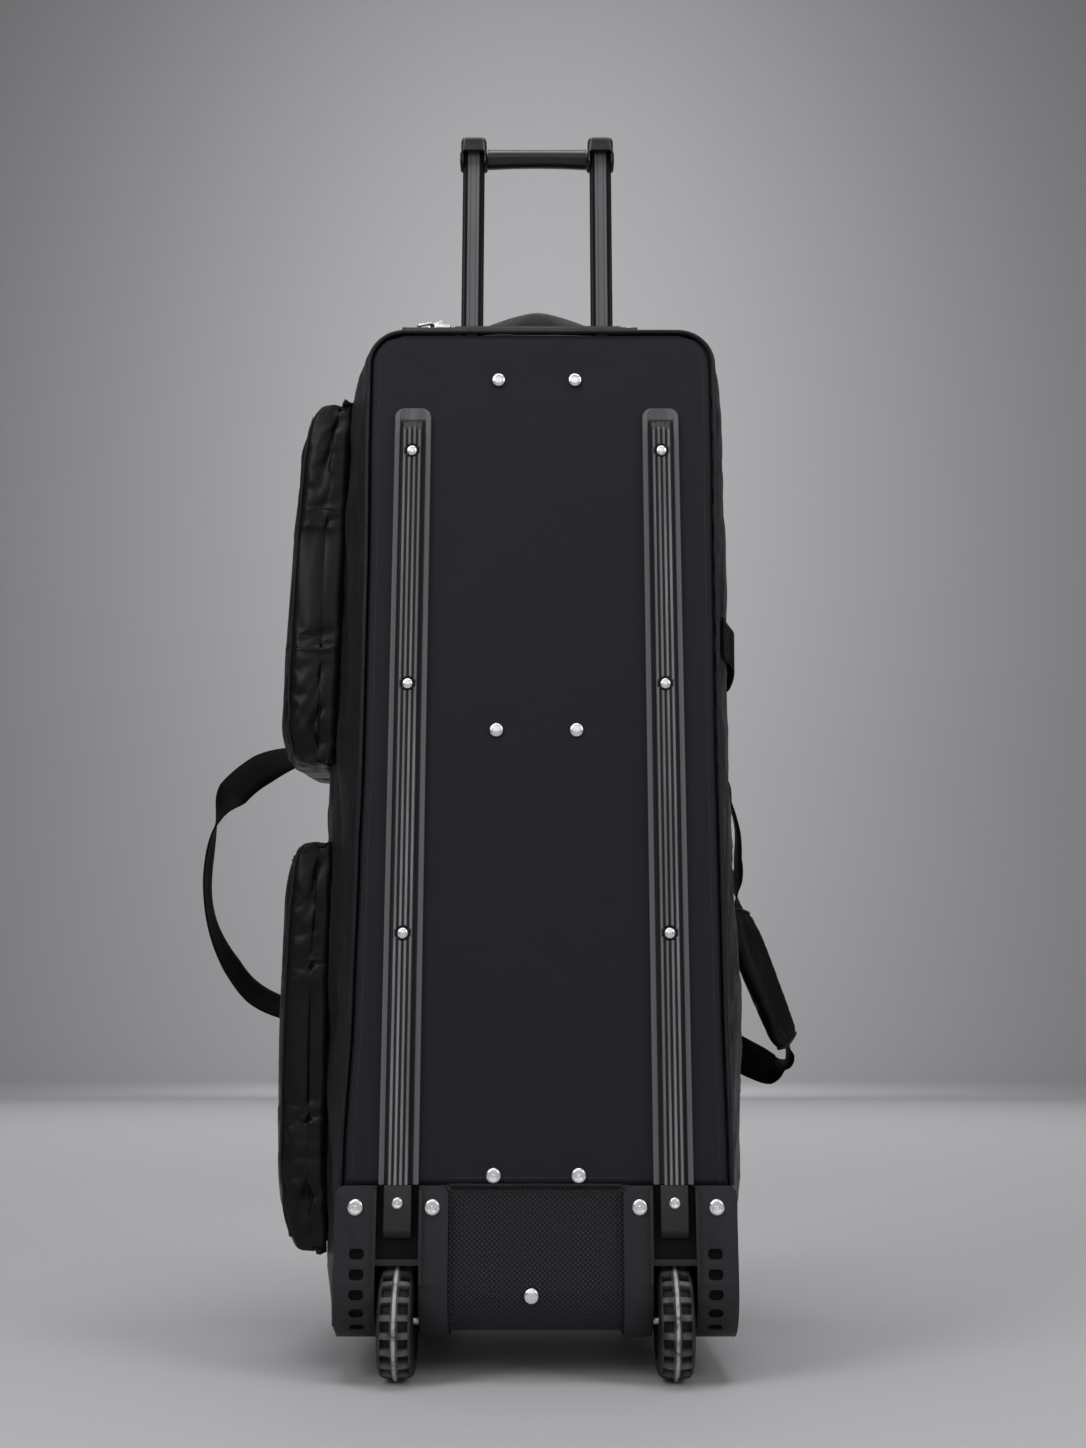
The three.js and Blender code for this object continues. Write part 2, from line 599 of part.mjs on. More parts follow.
function bandPoint(station, y, inset) {
  const { side, share } = station;
  if (station.part === 'side') {
    const z = lerp(undersideZ(y, CLOTH + GAP), CORNER_FOOT, share);
    return new THREE.Vector3(side * (foldedSideX(side, z, y) - inset), y, z);
  }
  if (station.part === 'corner') {
    const angle = (share * Math.PI) / 2;
    const swell = lerp(sideSwell(side, CORNER_FOOT), TOP_SWELL, share);
    const fullness = lerp(SIDE_FULLNESS, TOP_FULLNESS, share);
    const radius = CORNER_RADIUS + swell * crown(y, fullness) - inset;
    const x = seamX(side, CORNER_FOOT) - CORNER_RADIUS + radius * Math.cos(angle);
    return new THREE.Vector3(side * x, y, CORNER_FOOT + radius * Math.sin(angle));
  }
  const left = seamX(-1, CORNER_FOOT) - CORNER_RADIUS;
  const right = seamX(1, CORNER_FOOT) - CORNER_RADIUS;
  return new THREE.Vector3(lerp(-left, right, share), y, topZ(y) - inset);
}

const BAND_STOPS = [0, 0.03, 0.08, 0.16, 0.3, 0.52, 0.74, 0.9, 1];

function bodyWall() {
  const stations = bandStations();
  const depths = BAND_STOPS.map((share) => lerp(SEAM_STEP, WALL_FAR, share));
  const rows = stations.length - 1;
  const wall = wallBetween(
    (i, j) => bandPoint(stations[i], depths[j], 0),
    (i, j) => bandPoint(stations[i], depths[j], CLOTH),
    rows,
    depths.length - 1,
  );
  const slot = roundedOutline(-SLOT_HALF_LENGTH, SLOT_HALF_LENGTH, SLOT_NEAR, SLOT_FAR, SLOT_ROUND, 2);
  return cut(wall, postAlongZ(new THREE.Shape(slot), CORNER_FOOT, TOP + 2 * TOP_SWELL));
}

// Seam outline of a panel in X and Z, from a foot height up over the rounded top
function panelOutline(footZ, inset, footRadius) {
  const points = [];
  const sides = 5;
  for (const side of [1, -1]) {
    const run = [];
    const foot = seamX(side, footZ) - inset;
    if (footRadius > 0) {
      const corner = arcPoints(foot - footRadius, footZ + footRadius, footRadius - inset, -90, 0, 4);
      run.push(...corner.map((point) => new THREE.Vector2(point.x + inset, point.y)));
    } else {
      run.push(new THREE.Vector2(foot, footZ));
    }
    const start = footZ + footRadius;
    for (let i = 1; i < sides; i += 1) {
      const z = lerp(start, CORNER_FOOT, i / sides);
      run.push(new THREE.Vector2(seamX(side, z) - inset, z));
    }
    const centre = seamX(side, CORNER_FOOT) - CORNER_RADIUS;
    run.push(...arcPoints(centre, CORNER_FOOT, CORNER_RADIUS - inset, 0, 90, 5));
    if (side > 0) points.push(...run);
    else points.push(...run.reverse().map((point) => new THREE.Vector2(-point.x, point.y)));
  }
  return points;
}

function backPanel() {
  return plateAlongY(panelOutline(BASE_SEAM + GAP, PANEL_INSET, 0), 0, CLOTH);
}

// The front is a crowned field inside a ring of zip band, both on one crowned surface
function frontPoint(outline, j, reach, inset) {
  const middle = new THREE.Vector2(0, (FRONT_FOOT + TOP) / 2);
  const edge = outline[j];
  const x = lerp(middle.x, edge.x, reach);
  const z = lerp(middle.y, edge.y, reach);
  return new THREE.Vector3(x, BAG_DEPTH + FRONT_SWELL * (1 - reach ** FRONT_ROUNDNESS) - inset, z);
}

const FRONT_RINGS = [0, 0.34, 0.6, 0.76, 1 - ZIP_BORDER];

function frontPanel() {
  const outline = panelOutline(FRONT_FOOT + GAP, PANEL_INSET, FRONT_FOOT_RADIUS);
  return wallBetween(
    (i, j) => frontPoint(outline, outline.length - 1 - j, FRONT_RINGS[i], 0),
    (i, j) => frontPoint(outline, outline.length - 1 - j, FRONT_RINGS[i], CLOTH),
    FRONT_RINGS.length - 1,
    outline.length,
    true,
  );
}

function mainZip() {
  const outline = panelOutline(FRONT_FOOT + GAP, PANEL_INSET, FRONT_FOOT_RADIUS);
  const inner = 1 - ZIP_BORDER + ZIP_BAND_GAP;
  const rings = [
    { reach: inner, lift: 0 },
    { reach: lerp(inner, 1, 0.4), lift: 0 },
    { reach: lerp(inner, 1, 0.5), lift: CLOTH },
    { reach: lerp(inner, 1, 0.6), lift: 0 },
    { reach: 1, lift: 0 },
  ];
  return wallBetween(
    (i, j) => frontPoint(outline, outline.length - 1 - j, rings[i].reach, -rings[i].lift),
    (i, j) => frontPoint(outline, outline.length - 1 - j, rings[i].reach, CLOTH),
    rings.length - 1,
    outline.length,
    true,
  );
}

// Base panel: down the skid-rail face, under the bag and a little way up the front
const BEND_STEPS = 8;

function baseProfile(inset) {
  const near = arcPoints(BASE_BEND, FLOOR_CLEARANCE + BASE_BEND, BASE_BEND - inset, 180, 270, BEND_STEPS);
  const far = arcPoints(BAG_DEPTH - FRONT_BEND, FLOOR_CLEARANCE + FRONT_BEND, FRONT_BEND - inset, 270, 360, 6);
  const middle = new THREE.Vector2(BAG_DEPTH / 2, FLOOR_CLEARANCE + inset);
  return [new THREE.Vector2(inset, BASE_SEAM), ...near, middle, ...far];
}

function basePanel() {
  const outer = baseProfile(0);
  const inner = baseProfile(CLOTH);
  const edge = (point, j) => {
    const left = PANEL_INSET - sideX(-1, point.y, point.x);
    const right = sideX(1, point.y, point.x) - PANEL_INSET;
    return new THREE.Vector3(lerp(left, right, j / 2), point.x, point.y);
  };
  const sheet = wallBetween((i, j) => edge(outer[i], j), (i, j) => edge(inner[i], j), outer.length - 1, 2);
  return cut(sheet, housingOpening(-1), housingOpening(1));
}

// Piping follows the seam line of a panel
function seamPiping(footZ, footRadius, y) {
  const radius = PIPING / 2;
  const outline = panelOutline(footZ, -radius - GAP, footRadius);
  const count = outline.length;
  const sections = outline.map((point, i) => {
    const before = outline[Math.max(i - 1, 0)];
    const after = outline[Math.min(i + 1, count - 1)];
    const along = after.clone().sub(before).normalize();
    const out = new THREE.Vector2(along.y, -along.x);
    return Array.from({ length: 6 }, (_, k) => {
      const angle = (k * Math.PI) / 3 + Math.PI / 6;
      const across = radius * Math.cos(angle);
      return new THREE.Vector3(point.x + out.x * across, y + radius * Math.sin(angle), point.y + out.y * across);
    });
  });
  return loft(sections);
}

function basePiping() {
  const radius = BASE_PIPING / 2;
  const span = RAIL_X - GUARD_INNER - 1;
  const rod = new THREE.CylinderGeometry(radius, radius, 2 * span, 6);
  return rod.rotateZ(Math.PI / 2).translate(0, -(radius + GAP), BASE_SEAM);
}

// Pocket: an open-backed shell standing on the left side. The grid runs over a rounded box.
const UPPER_POCKET = { foot: UPPER_POCKET_FOOT, depth: UPPER_POCKET_DEPTH };
const LOWER_POCKET = { foot: LOWER_POCKET_FOOT, depth: LOWER_POCKET_DEPTH };
const POCKET_ROWS = 14;
const POCKET_COLUMNS = 12;

function squared(angle) {
  const sine = Math.sin(angle);
  const cosine = Math.max(Math.cos(angle), 0);
  return {
    over: Math.sign(sine) * Math.abs(sine) ** (2 / POCKET_SQUARENESS),
    rise: cosine ** (2 / POCKET_SQUARENESS),
  };
}

function gridAngle(i, steps) {
  const share = (2 * i) / steps - 1;
  return (Math.PI / 2) * Math.sign(share) * Math.abs(share) ** POCKET_EDGE_ROWS;
}

function pocketPoint(place, height, breadth, inset) {
  const up = squared(height);
  const over = squared(breadth);
  const halfHeight = POCKET_HEIGHT / 2 - inset;
  const halfBreadth = (POCKET_FAR - POCKET_NEAR) / 2 - inset;
  const share = (up.over + 1) / 2;
  const swing = sample(POCKET_SECTIONS, share, 'near') * place.depth * Math.max(-over.over, 0) ** 2;
  const z = FLOOR_CLEARANCE + place.foot + POCKET_HEIGHT / 2 + halfHeight * up.over;
  const y = (POCKET_NEAR + POCKET_FAR) / 2 + halfBreadth * over.over + swing;
  const fold = foldRise(POCKET_FOLDS, share, (over.over + 1) / 2, (POCKET_FAR - POCKET_NEAR) / POCKET_HEIGHT);
  const full = up.rise * over.rise;
  const out = place.depth * (sample(POCKET_SECTIONS, share, 'out') + fold) - inset;
  return new THREE.Vector3(-(sideX(-1, z, y) + POCKET_SEAT + out * full), y, z);
}

function pocket(place) {
  const at = (i, j, inset) => pocketPoint(place, gridAngle(i, POCKET_ROWS), gridAngle(j, POCKET_COLUMNS), inset);
  return wallBetween((i, j) => at(i, j, 0), (i, j) => at(i, j, CLOTH), POCKET_ROWS, POCKET_COLUMNS);
}

// Zip band upright on the outer face of a pocket
function pocketZip(place) {
  const rows = 10;
  const half = POCKET_ZIP_WIDTH / (POCKET_FAR - POCKET_NEAR);
  const at = (i, j, lift) => {
    const height = Math.asin(lerp(-POCKET_ZIP_REACH, POCKET_ZIP_REACH, i / rows));
    const breadth = squaredAngle(POCKET_ZIP_PLACE + lerp(-half, half, j / 2));
    const point = pocketPoint(place, height, breadth, 0);
    point.x -= lift + (j === 1 ? POCKET_ZIP_THICKNESS / 2 : 0);
    return point;
  };
  const outer = (i, j) => at(i, j, POCKET_ZIP_SEAT + POCKET_ZIP_THICKNESS);
  return wallBetween(outer, (i, j) => at(i, j, POCKET_ZIP_SEAT), rows, 2);
}

function squaredAngle(over) {
  return Math.asin(Math.sign(over) * Math.abs(over) ** (POCKET_SQUARENESS / 2));
}

// Webbing band along a smooth line through the rows of a strap table
function strapLine(rows, side, count) {
  const curve = new THREE.CatmullRomCurve3(rows.map((row) => {
    const z = TOP - row.down;
    return new THREE.Vector3(side * (sideX(side, z, row.back) + row.out), row.back, z);
  }), false, 'centripetal');
  return Array.from({ length: count + 1 }, (_, i) => {
    const place = curve.getPointAt(i / count);
    const along = curve.getTangentAt(i / count);
    const share = curve.getUtoTmapping(i / count);
    const turn = radians(turnAt(rows, share));
    const flat = new THREE.Vector3(0, Math.cos(turn), Math.abs(Math.sin(turn)));
    const across = flat.sub(along.clone().multiplyScalar(flat.dot(along))).normalize();
    return { place, along, across, face: along.clone().cross(across) };
  });
}

function turnAt(rows, share) {
  const spot = share * (rows.length - 1);
  const i = Math.min(Math.floor(spot), rows.length - 2);
  return lerp(rows[i].turn, rows[i + 1].turn, spot - i);
}

function bandSection(frame, width, thickness) {
  const corners = [[-1, -1], [1, -1], [1, 1], [-1, 1]];
  return corners.map(([u, v]) => frame.place.clone()
    .addScaledVector(frame.across, (u * width) / 2)
    .addScaledVector(frame.face, (v * thickness) / 2));
}

function strap(rows, side) {
  return loft(strapLine(rows, side, STRAP_STEPS).map((frame) => bandSection(frame, WEBBING_WIDTH, WEBBING)));
}

function ovalSection(frame, width, thickness) {
  const count = 10;
  return Array.from({ length: count }, (_, k) => {
    const angle = ((k + 0.5) * 2 * Math.PI) / count;
    const [u, v] = [Math.cos(angle), Math.sin(angle)];
    return frame.place.clone()
      .addScaledVector(frame.across, (Math.sign(u) * Math.abs(u) ** 0.6 * width) / 2)
      .addScaledVector(frame.face, (Math.sign(v) * Math.abs(v) ** 0.7 * thickness) / 2);
  });
}

function gripWrap() {
  const frames = strapLine(RIGHT_STRAP, 1, STRAP_STEPS);
  const covered = frames.slice(Math.round(WRAP_FROM * STRAP_STEPS), Math.round(WRAP_TO * STRAP_STEPS) + 1);
  const outer = covered.map((frame, i) => {
    const end = i === 0 || i === covered.length - 1 ? 0.9 : 1;
    return ovalSection(frame, WRAP_WIDTH * end + WRAP_EDGE, WRAP_THICKNESS * end).reverse();
  });
  const inner = covered.map((frame) => {
    return ovalSection(frame, WRAP_WIDTH - WRAP_EDGE, WRAP_THICKNESS - 2 * WRAP_WALL).reverse();
  });
  return sleeve(outer, inner);
}

// Side handle: a webbing band along the right side, lifted clear between its sewn ends
function sideHandle() {
  const rows = 12;
  const middle = TOP - SIDE_HANDLE_DROP;
  const at = (i, j, lift) => {
    const share = i / rows;
    const y = lerp(SIDE_HANDLE_NEAR, SIDE_HANDLE_FAR, share);
    const z = middle + lerp(-WEBBING_WIDTH / 2, WEBBING_WIDTH / 2, j / 2);
    const clear = THREE.MathUtils.smoothstep(Math.min(share, 1 - share), 0.1, 0.3) * SIDE_HANDLE_RISE;
    return new THREE.Vector3(sideX(1, z, y) + SIDE_HANDLE_SEAT + clear + lift, y, z);
  };
  return wallBetween((i, j) => at(i, j, WEBBING), (i, j) => at(i, j, 0), rows, 2);
}

// Handle slot zip: one band along the top near the skid-rail face, open round the handle tubes
function handleZip() {
  const rows = 10;
  const columns = 6;
  const at = (i, j, lift) => {
    const x = lerp(-HANDLE_ZIP_LEFT, HANDLE_ZIP_RIGHT, i / rows);
    const y = lerp(HANDLE_ZIP_NEAR, HANDLE_ZIP_FAR, j / columns);
    return new THREE.Vector3(x, y, topZ(y) + HANDLE_ZIP_SEAT + lift + (lift > 0 && j === 1 ? HANDLE_ZIP_RIDGE : 0));
  };
  const band = wallBetween((i, j) => at(i, j, HANDLE_ZIP_THICKNESS), (i, j) => at(i, j, 0), rows, columns);
  const mouth = roundedOutline(-SLOT_HALF_LENGTH, SLOT_HALF_LENGTH, SLOT_NEAR, SLOT_FAR, SLOT_ROUND, 2);
  return cut(band, postAlongZ(new THREE.Shape(mouth), CORNER_FOOT, TOP + 2 * TOP_SWELL));
}

// Height just clear of the handle zip's band
function zipFace(y) {
  return topZ(y) + HANDLE_ZIP_SEAT + HANDLE_ZIP_THICKNESS + GAP;
}

// Far lip of the slot, standing up in a soft arch between the tubes
function handleFlap() {
  const rows = 10;
  const columns = 2;
  const at = (i, j, inset) => {
    const share = (2 * i) / rows - 1;
    const arch = lerp(FLAP_END_RISE, 1, 1 - Math.abs(share) ** SWELL_ROUNDNESS);
    const up = j / columns;
    const y = SLOT_FAR + FLAP_SETBACK + up * up * FLAP_LEAN + inset;
    const foot = zipFace(y);
    return new THREE.Vector3(share * FLAP_HALF_LENGTH, y, foot + up * FLAP_RISE * arch);
  };
  return wallBetween((i, j) => at(i, j, 0), (i, j) => at(i, j, CLOTH), rows, columns);
}

// Handle zip slider, its swinging pull and the end stop
const SLIDER_Y = (SLOT_NEAR + SLOT_FAR) / 2;
const SLIDER_FOOT = zipFace(SLIDER_Y + SLIDER_WIDTH / 2);
const PIVOT = new THREE.Vector3(SLIDER_X, SLIDER_Y, SLIDER_FOOT + SLIDER_HEIGHT + BRIDGE_HEIGHT - BRIDGE_PIN);

function zipSlider() {
  const halfLength = SLIDER_LENGTH / 2;
  const halfWidth = SLIDER_WIDTH / 2;
  const shell = roundedOutline(
    SLIDER_X - halfLength,
    SLIDER_X + halfLength,
    SLIDER_Y - halfWidth,
    SLIDER_Y + halfWidth,
    SLIDER_WIDTH / 3,
    2,
  );
  const body = postAlongZ(new THREE.Shape(shell), SLIDER_FOOT, SLIDER_FOOT + SLIDER_HEIGHT);
  const pin = new THREE.CylinderGeometry(BRIDGE_PIN, BRIDGE_PIN, SLIDER_WIDTH, 12);
  pin.translate(PIVOT.x, PIVOT.y, PIVOT.z);
  const posts = [-1, 1].map((end) => block(
    PIVOT.x - BRIDGE_POST,
    PIVOT.x + BRIDGE_POST,
    PIVOT.y + end * (halfWidth - BRIDGE_POST / 2) - BRIDGE_POST / 2,
    PIVOT.y + end * (halfWidth - BRIDGE_POST / 2) + BRIDGE_POST / 2,
    SLIDER_FOOT + SLIDER_HEIGHT / 2,
    PIVOT.z + BRIDGE_PIN,
  ));
  return joined(body, pin, ...posts);
}

// The pull lies flat on the slider with its eye round the bridge pin
function zipPull() {
  const inner = SLIDER_WIDTH / 2 - BRIDGE_POST - PULL_SWING_CLEARANCE;
  const boreRadius = BRIDGE_PIN + AXLE_CLEARANCE;
  const eyeRadius = boreRadius + EYE_WALL;
  const halfThickness = PULL_THICKNESS / 2;
  const halfWidth = PULL_WIDTH / 2;
  const eye = new THREE.CylinderGeometry(eyeRadius, eyeRadius, 2 * inner, 12).translate(PIVOT.x, PIVOT.y, PIVOT.z);
  const neck = block(
    PIVOT.x - PULL_NECK - PULL_RING / 2,
    PIVOT.x - boreRadius,
    PIVOT.y - inner,
    PIVOT.y + inner,
    PIVOT.z - halfThickness,
    PIVOT.z + halfThickness,
  );
  const ring = new THREE.Shape(roundedOutline(
    PIVOT.x - PULL_LENGTH,
    PIVOT.x - PULL_NECK,
    PIVOT.y - halfWidth,
    PIVOT.y + halfWidth,
    PULL_RING + EYE_WALL,
    3,
  ));
  ring.holes.push(new THREE.Path(roundedOutline(
    PIVOT.x - PULL_LENGTH + PULL_RING,
    PIVOT.x - PULL_NECK - PULL_RING,
    PIVOT.y - halfWidth + PULL_RING,
    PIVOT.y + halfWidth - PULL_RING,
    PULL_RING - EYE_WALL,
    2,
  ).reverse()));
  const loop = postAlongZ(ring, PIVOT.z - halfThickness, PIVOT.z + halfThickness);
  const bore = new THREE.CylinderGeometry(boreRadius, boreRadius, SLIDER_WIDTH, 12);
  const pull = cut(joined(eye, neck, loop), bore.translate(PIVOT.x, PIVOT.y, PIVOT.z));
  const droop = new THREE.Matrix4().makeRotationY(radians(-PULL_DROOP));
  return pull.translate(-PIVOT.x, -PIVOT.y, -PIVOT.z).applyMatrix4(droop).translate(PIVOT.x, PIVOT.y, PIVOT.z);
}

function zipStop() {
  const x = HANDLE_ZIP_RIGHT - STOP_INSET;
  const half = STOP_SIZE / 2;
  const foot = zipFace(SLIDER_Y) + STOP_SEAT;
  return block(x - half, x + half, SLIDER_Y - half, SLIDER_Y + half, foot, foot + STOP_RISE);
}

// Pull handle
function tubeSection(x) {
  const halfWidth = TUBE_WIDTH / 2;
  const halfDepth = TUBE_DEPTH / 2;
  const grooveHalf = TUBE_GROOVE_WIDTH / 2;
  const corner = TUBE_ROUND / 3;
  const half = [
    [grooveHalf, -halfDepth + TUBE_GROOVE],
    [grooveHalf + GROOVE_DRAFT, -halfDepth],
    [halfWidth - TUBE_ROUND, -halfDepth],
    [halfWidth - corner, -halfDepth + corner],
    [halfWidth, -halfDepth + TUBE_ROUND],
    [halfWidth, halfDepth - TUBE_ROUND],
    [halfWidth - corner, halfDepth - corner],
    [halfWidth - TUBE_ROUND, halfDepth],
    [grooveHalf + GROOVE_DRAFT, halfDepth],
    [grooveHalf, halfDepth - TUBE_GROOVE],
  ];
  const points = [...half, ...half.map(([u, v]) => [-u, -v])];
  const shape = new THREE.Shape(points.map(([u, v]) => new THREE.Vector2(x + u, HANDLE_SETBACK + v)));
  const wall = TUBE_WALL + TUBE_GROOVE;
  shape.holes.push(new THREE.Path(roundedOutline(
    x - halfWidth + wall,
    x + halfWidth - wall,
    HANDLE_SETBACK - halfDepth + wall,
    HANDLE_SETBACK + halfDepth - wall,
    1,
    1,
  ).reverse()));
  return shape;
}

const CAP_TOP = TOP + HANDLE_RISE;
const TUBE_TOP = CAP_TOP - CAP_HEIGHT + CAP_SOCKET - GAP;

function handleTube(side) {
  return postAlongZ(tubeSection(side * TUBE_X), TUBE_TOP - TUBE_LENGTH, TUBE_TOP);
}

function handleCap(side) {
  const x = side * TUBE_X;
  // rise: share of the cap's height. width: share of its width and depth.
  const levels = [
    { rise: 0.00, width: 1.00 },
    { rise: 0.38, width: 1.00 },
    { rise: 0.44, width: 0.93 },
    { rise: 0.84, width: 0.93 },
    { rise: 0.95, width: 0.86 },
    { rise: 1.00, width: 0.70 },
  ];
  const body = loft(levels.map((level) => {
    const halfWidth = (CAP_WIDTH / 2) * level.width;
    const halfDepth = (CAP_DEPTH / 2) * level.width;
    const z = CAP_TOP - CAP_HEIGHT * (1 - level.rise);
    const outline = roundedOutline(x - halfWidth, x + halfWidth, -halfDepth, halfDepth, CAP_ROUND * level.width, 3);
    return outline.map((point) => new THREE.Vector3(point.x, HANDLE_SETBACK + point.y, z));
  }));
  const socket = roundedOutline(
    x - TUBE_WIDTH / 2 - GAP,
    x + TUBE_WIDTH / 2 + GAP,
    HANDLE_SETBACK - TUBE_DEPTH / 2 - GAP,
    HANDLE_SETBACK + TUBE_DEPTH / 2 + GAP,
    1,
    1,
  );
  return cut(body, postAlongZ(new THREE.Shape(socket), CAP_TOP - CAP_HEIGHT - 1, CAP_TOP - CAP_HEIGHT + CAP_SOCKET));
}

function handleGrip() {
  const end = TUBE_X - CAP_WIDTH / 2 - GAP;
  const stations = 8;
  const sections = Array.from({ length: stations + 1 }, (_, i) => {
    const share = (2 * i) / stations - 1;
    const arch = GRIP_ARCH * (1 - share ** 2);
    return Array.from({ length: 12 }, (_, k) => {
      const angle = (k * Math.PI) / 6;
      const y = HANDLE_SETBACK + (GRIP_DEPTH / 2) * Math.cos(angle);
      const rise = (GRIP_HEIGHT / 2) * Math.sin(angle) + (Math.sin(angle) < 0 ? arch : 0);
      return new THREE.Vector3(share * end, y, CAP_TOP - GRIP_DROP + rise);
    });
  });
  return loft(sections);
}

// Guide tubes and their three brackets, welded into one frame behind the skid-rail face
const BRACKET_HEIGHTS = [...BRACKET_DROPS.map((drop) => TOP - drop), BASE_SEAM + LOW_BRACKET_RISE];

function trolleyFrame() {
  const halfWidth = TUBE_WIDTH / 2 + GAP;
  const halfDepth = TUBE_DEPTH / 2 + GAP;
  const tubes = [-1, 1].map((side) => {
    const x = side * TUBE_X;
    const outline = roundedOutline(
      x - halfWidth - GUIDE_WALL,
      x + halfWidth + GUIDE_WALL,
      HANDLE_SETBACK - halfDepth - GUIDE_WALL,
      HANDLE_SETBACK + halfDepth + GUIDE_WALL,
      2,
      1,
    );
    const shape = new THREE.Shape(outline);
    const hole = roundedOutline(
      x - halfWidth,
      x + halfWidth,
      HANDLE_SETBACK - halfDepth,
      HANDLE_SETBACK + halfDepth,
      0.5,
      1,
    );
    shape.holes.push(new THREE.Path(hole.reverse()));
    return postAlongZ(shape, BASE_SEAM - GUIDE_FOOT, TOP - GUIDE_TOP);
  });
  const reach = TUBE_X + halfWidth + GUIDE_WALL;
  const face = CLOTH + GAP;
  const back = HANDLE_SETBACK - halfDepth - GUIDE_WALL / 2;
  const brackets = BRACKET_HEIGHTS.map((z) => {
    return block(-reach, reach, face, back, z - BRACKET_HEIGHT / 2, z + BRACKET_HEIGHT / 2);
  });
  return joined(...tubes, ...brackets);
}

// Skid rail: a flange with a raised border and a ribbed bar that ramps up at its top end
const RAIL_HEAD = TOP - RAIL_TOP;
const RAIL_FOOT = BASE_SEAM + 1;
const STUD_HEIGHTS = [0, 1, 2].map((i) => RAIL_HEAD - RAIL_STUD_DROP - i * RAIL_STUD_SPACING);

function railPlan(x, inset, head) {
  const half = RAIL_WIDTH / 2 - inset;
  const round = RAIL_ROUND - inset;
  return [
    new THREE.Vector2(x - half, RAIL_FOOT + inset),
    new THREE.Vector2(x + half, RAIL_FOOT + inset),
    ...arcPoints(x + half - round, head - inset - round, round, 0, 90, 4),
    ...arcPoints(x - half + round, head - inset - round, round, 90, 180, 4),
  ];
}

function rail(side) {
  const x = side * RAIL_X;
  const flange = plateAlongY(railPlan(x, 0, RAIL_HEAD), RAIL_FACE - RAIL_LIP, -GAP);
  const floor = plateAlongY(railPlan(x, RAIL_LIP_WIDTH, RAIL_HEAD), RAIL_FACE - RAIL_LIP - 1, RAIL_FACE);
  const head = RAIL_HEAD - RAIL_BAR_DROP;
  const half = RAIL_BAR_WIDTH / 2;
  const ribFace = BAR_FACE - RAIL_RIB;
  const pitch = (RAIL_BAR_WIDTH - RAIL_RIB) / (RAIL_RIBS - 1);
  const root = RAIL_FACE + RAIL_FLANGE / 2;
  const section = [new THREE.Vector2(x - half, root), new THREE.Vector2(x + half, root)];
  for (let i = RAIL_RIBS - 1; i >= 0; i -= 1) {
    const left = x - half + i * pitch;
    section.push(
      new THREE.Vector2(left + RAIL_RIB, BAR_FACE),
      new THREE.Vector2(left + RAIL_RIB - RIB_DRAFT, ribFace),
      new THREE.Vector2(left + RIB_DRAFT, ribFace),
      new THREE.Vector2(left, BAR_FACE),
    );
  }
  const bar = postAlongZ(new THREE.Shape(section), RAIL_FOOT + RAIL_LIP_WIDTH, head);
  const ramp = barAlongX([
    new THREE.Vector2(RAIL_FACE - RIB_DRAFT, head + 1),
    new THREE.Vector2(ribFace - RAIL_RIB, head + 1),
    new THREE.Vector2(ribFace - RAIL_RIB, head - RAIL_RAMP),
    new THREE.Vector2(ribFace - RIB_DRAFT, head - RAIL_RAMP),
  ], x - half - 1, x + half + 1);
  return railCut(joined(cut(flange, floor), cut(bar, ramp)), x);
}

// Round pits in the ribs where the studs sit
function railCut(body, x) {
  const radius = RAIL_STUD / 2 + STUD_PIT;
  const depth = 2 * RAIL_RIB;
  const pits = STUD_HEIGHTS.map((z) => {
    return new THREE.CylinderGeometry(radius, radius, depth, 12).translate(x, BAR_FACE - depth / 2, z);
  });
  return cut(body, ...pits);
}

// Block at the foot of a rail, seated in the guard's channel
function railEnd(side) {
  const x = side * RAIL_X;
  const seat = GUARD_FACE + CHANNEL_DEPTH - GAP;
  const top = RAIL_FOOT - GAP;
  const foot = top - RAIL_END_HEIGHT;
  const profile = [
    new THREE.Vector2(seat, foot - RAIL_END_CHAMFER),
    new THREE.Vector2(seat, top),
    new THREE.Vector2(seat - RAIL_END_RISE, top),
    new THREE.Vector2(seat - RAIL_END_RISE, foot),
    new THREE.Vector2(seat - RAIL_END_RISE / 4, foot - RAIL_END_CHAMFER),
  ];
  return barAlongX(profile, x - RAIL_END_WIDTH / 2, x + RAIL_END_WIDTH / 2);
}

// Wheel space: the profile that the wheel runs in, in Y and Z, with a lower mouth at the guard's face
function wheelSpace(grow) {
  const far = WHEEL_DEPTH + WHEEL_RADIUS + WHEEL_CLEARANCE + grow;
  const top = 2 * WHEEL_RADIUS + HOUSING_ROOM + grow;
  const mouth = 2 * WHEEL_RADIUS - MOUTH_DROP + grow;
  const shoulder = WHEEL_RADIUS * 0.42;
  return [
    new THREE.Vector2(OUTSIDE, OUTSIDE),
    new THREE.Vector2(far, OUTSIDE),
    new THREE.Vector2(far, WHEEL_RADIUS + shoulder),
    new THREE.Vector2(far - shoulder * 0.6, top - shoulder * 0.5),
    new THREE.Vector2(far - shoulder * 2, top),
    new THREE.Vector2(WHEEL_CLEARANCE - grow, top),
    new THREE.Vector2(-CLOTH - grow, mouth),
    new THREE.Vector2(OUTSIDE, mouth),
  ];
}

const CAVITY_HALF = WHEEL_WIDTH / 2 + WHEEL_SIDE_CLEARANCE;
const OUTSIDE = -60;             // cutters run out to here in front of the bag and under the floor

function housingOpening(side) {
  const x = side * RAIL_X;
  const wall = HOUSING_WALL + HOUSING_GAP;
  return barAlongX(wheelSpace(wall), x - CAVITY_HALF - wall, x + CAVITY_HALF + wall);
}

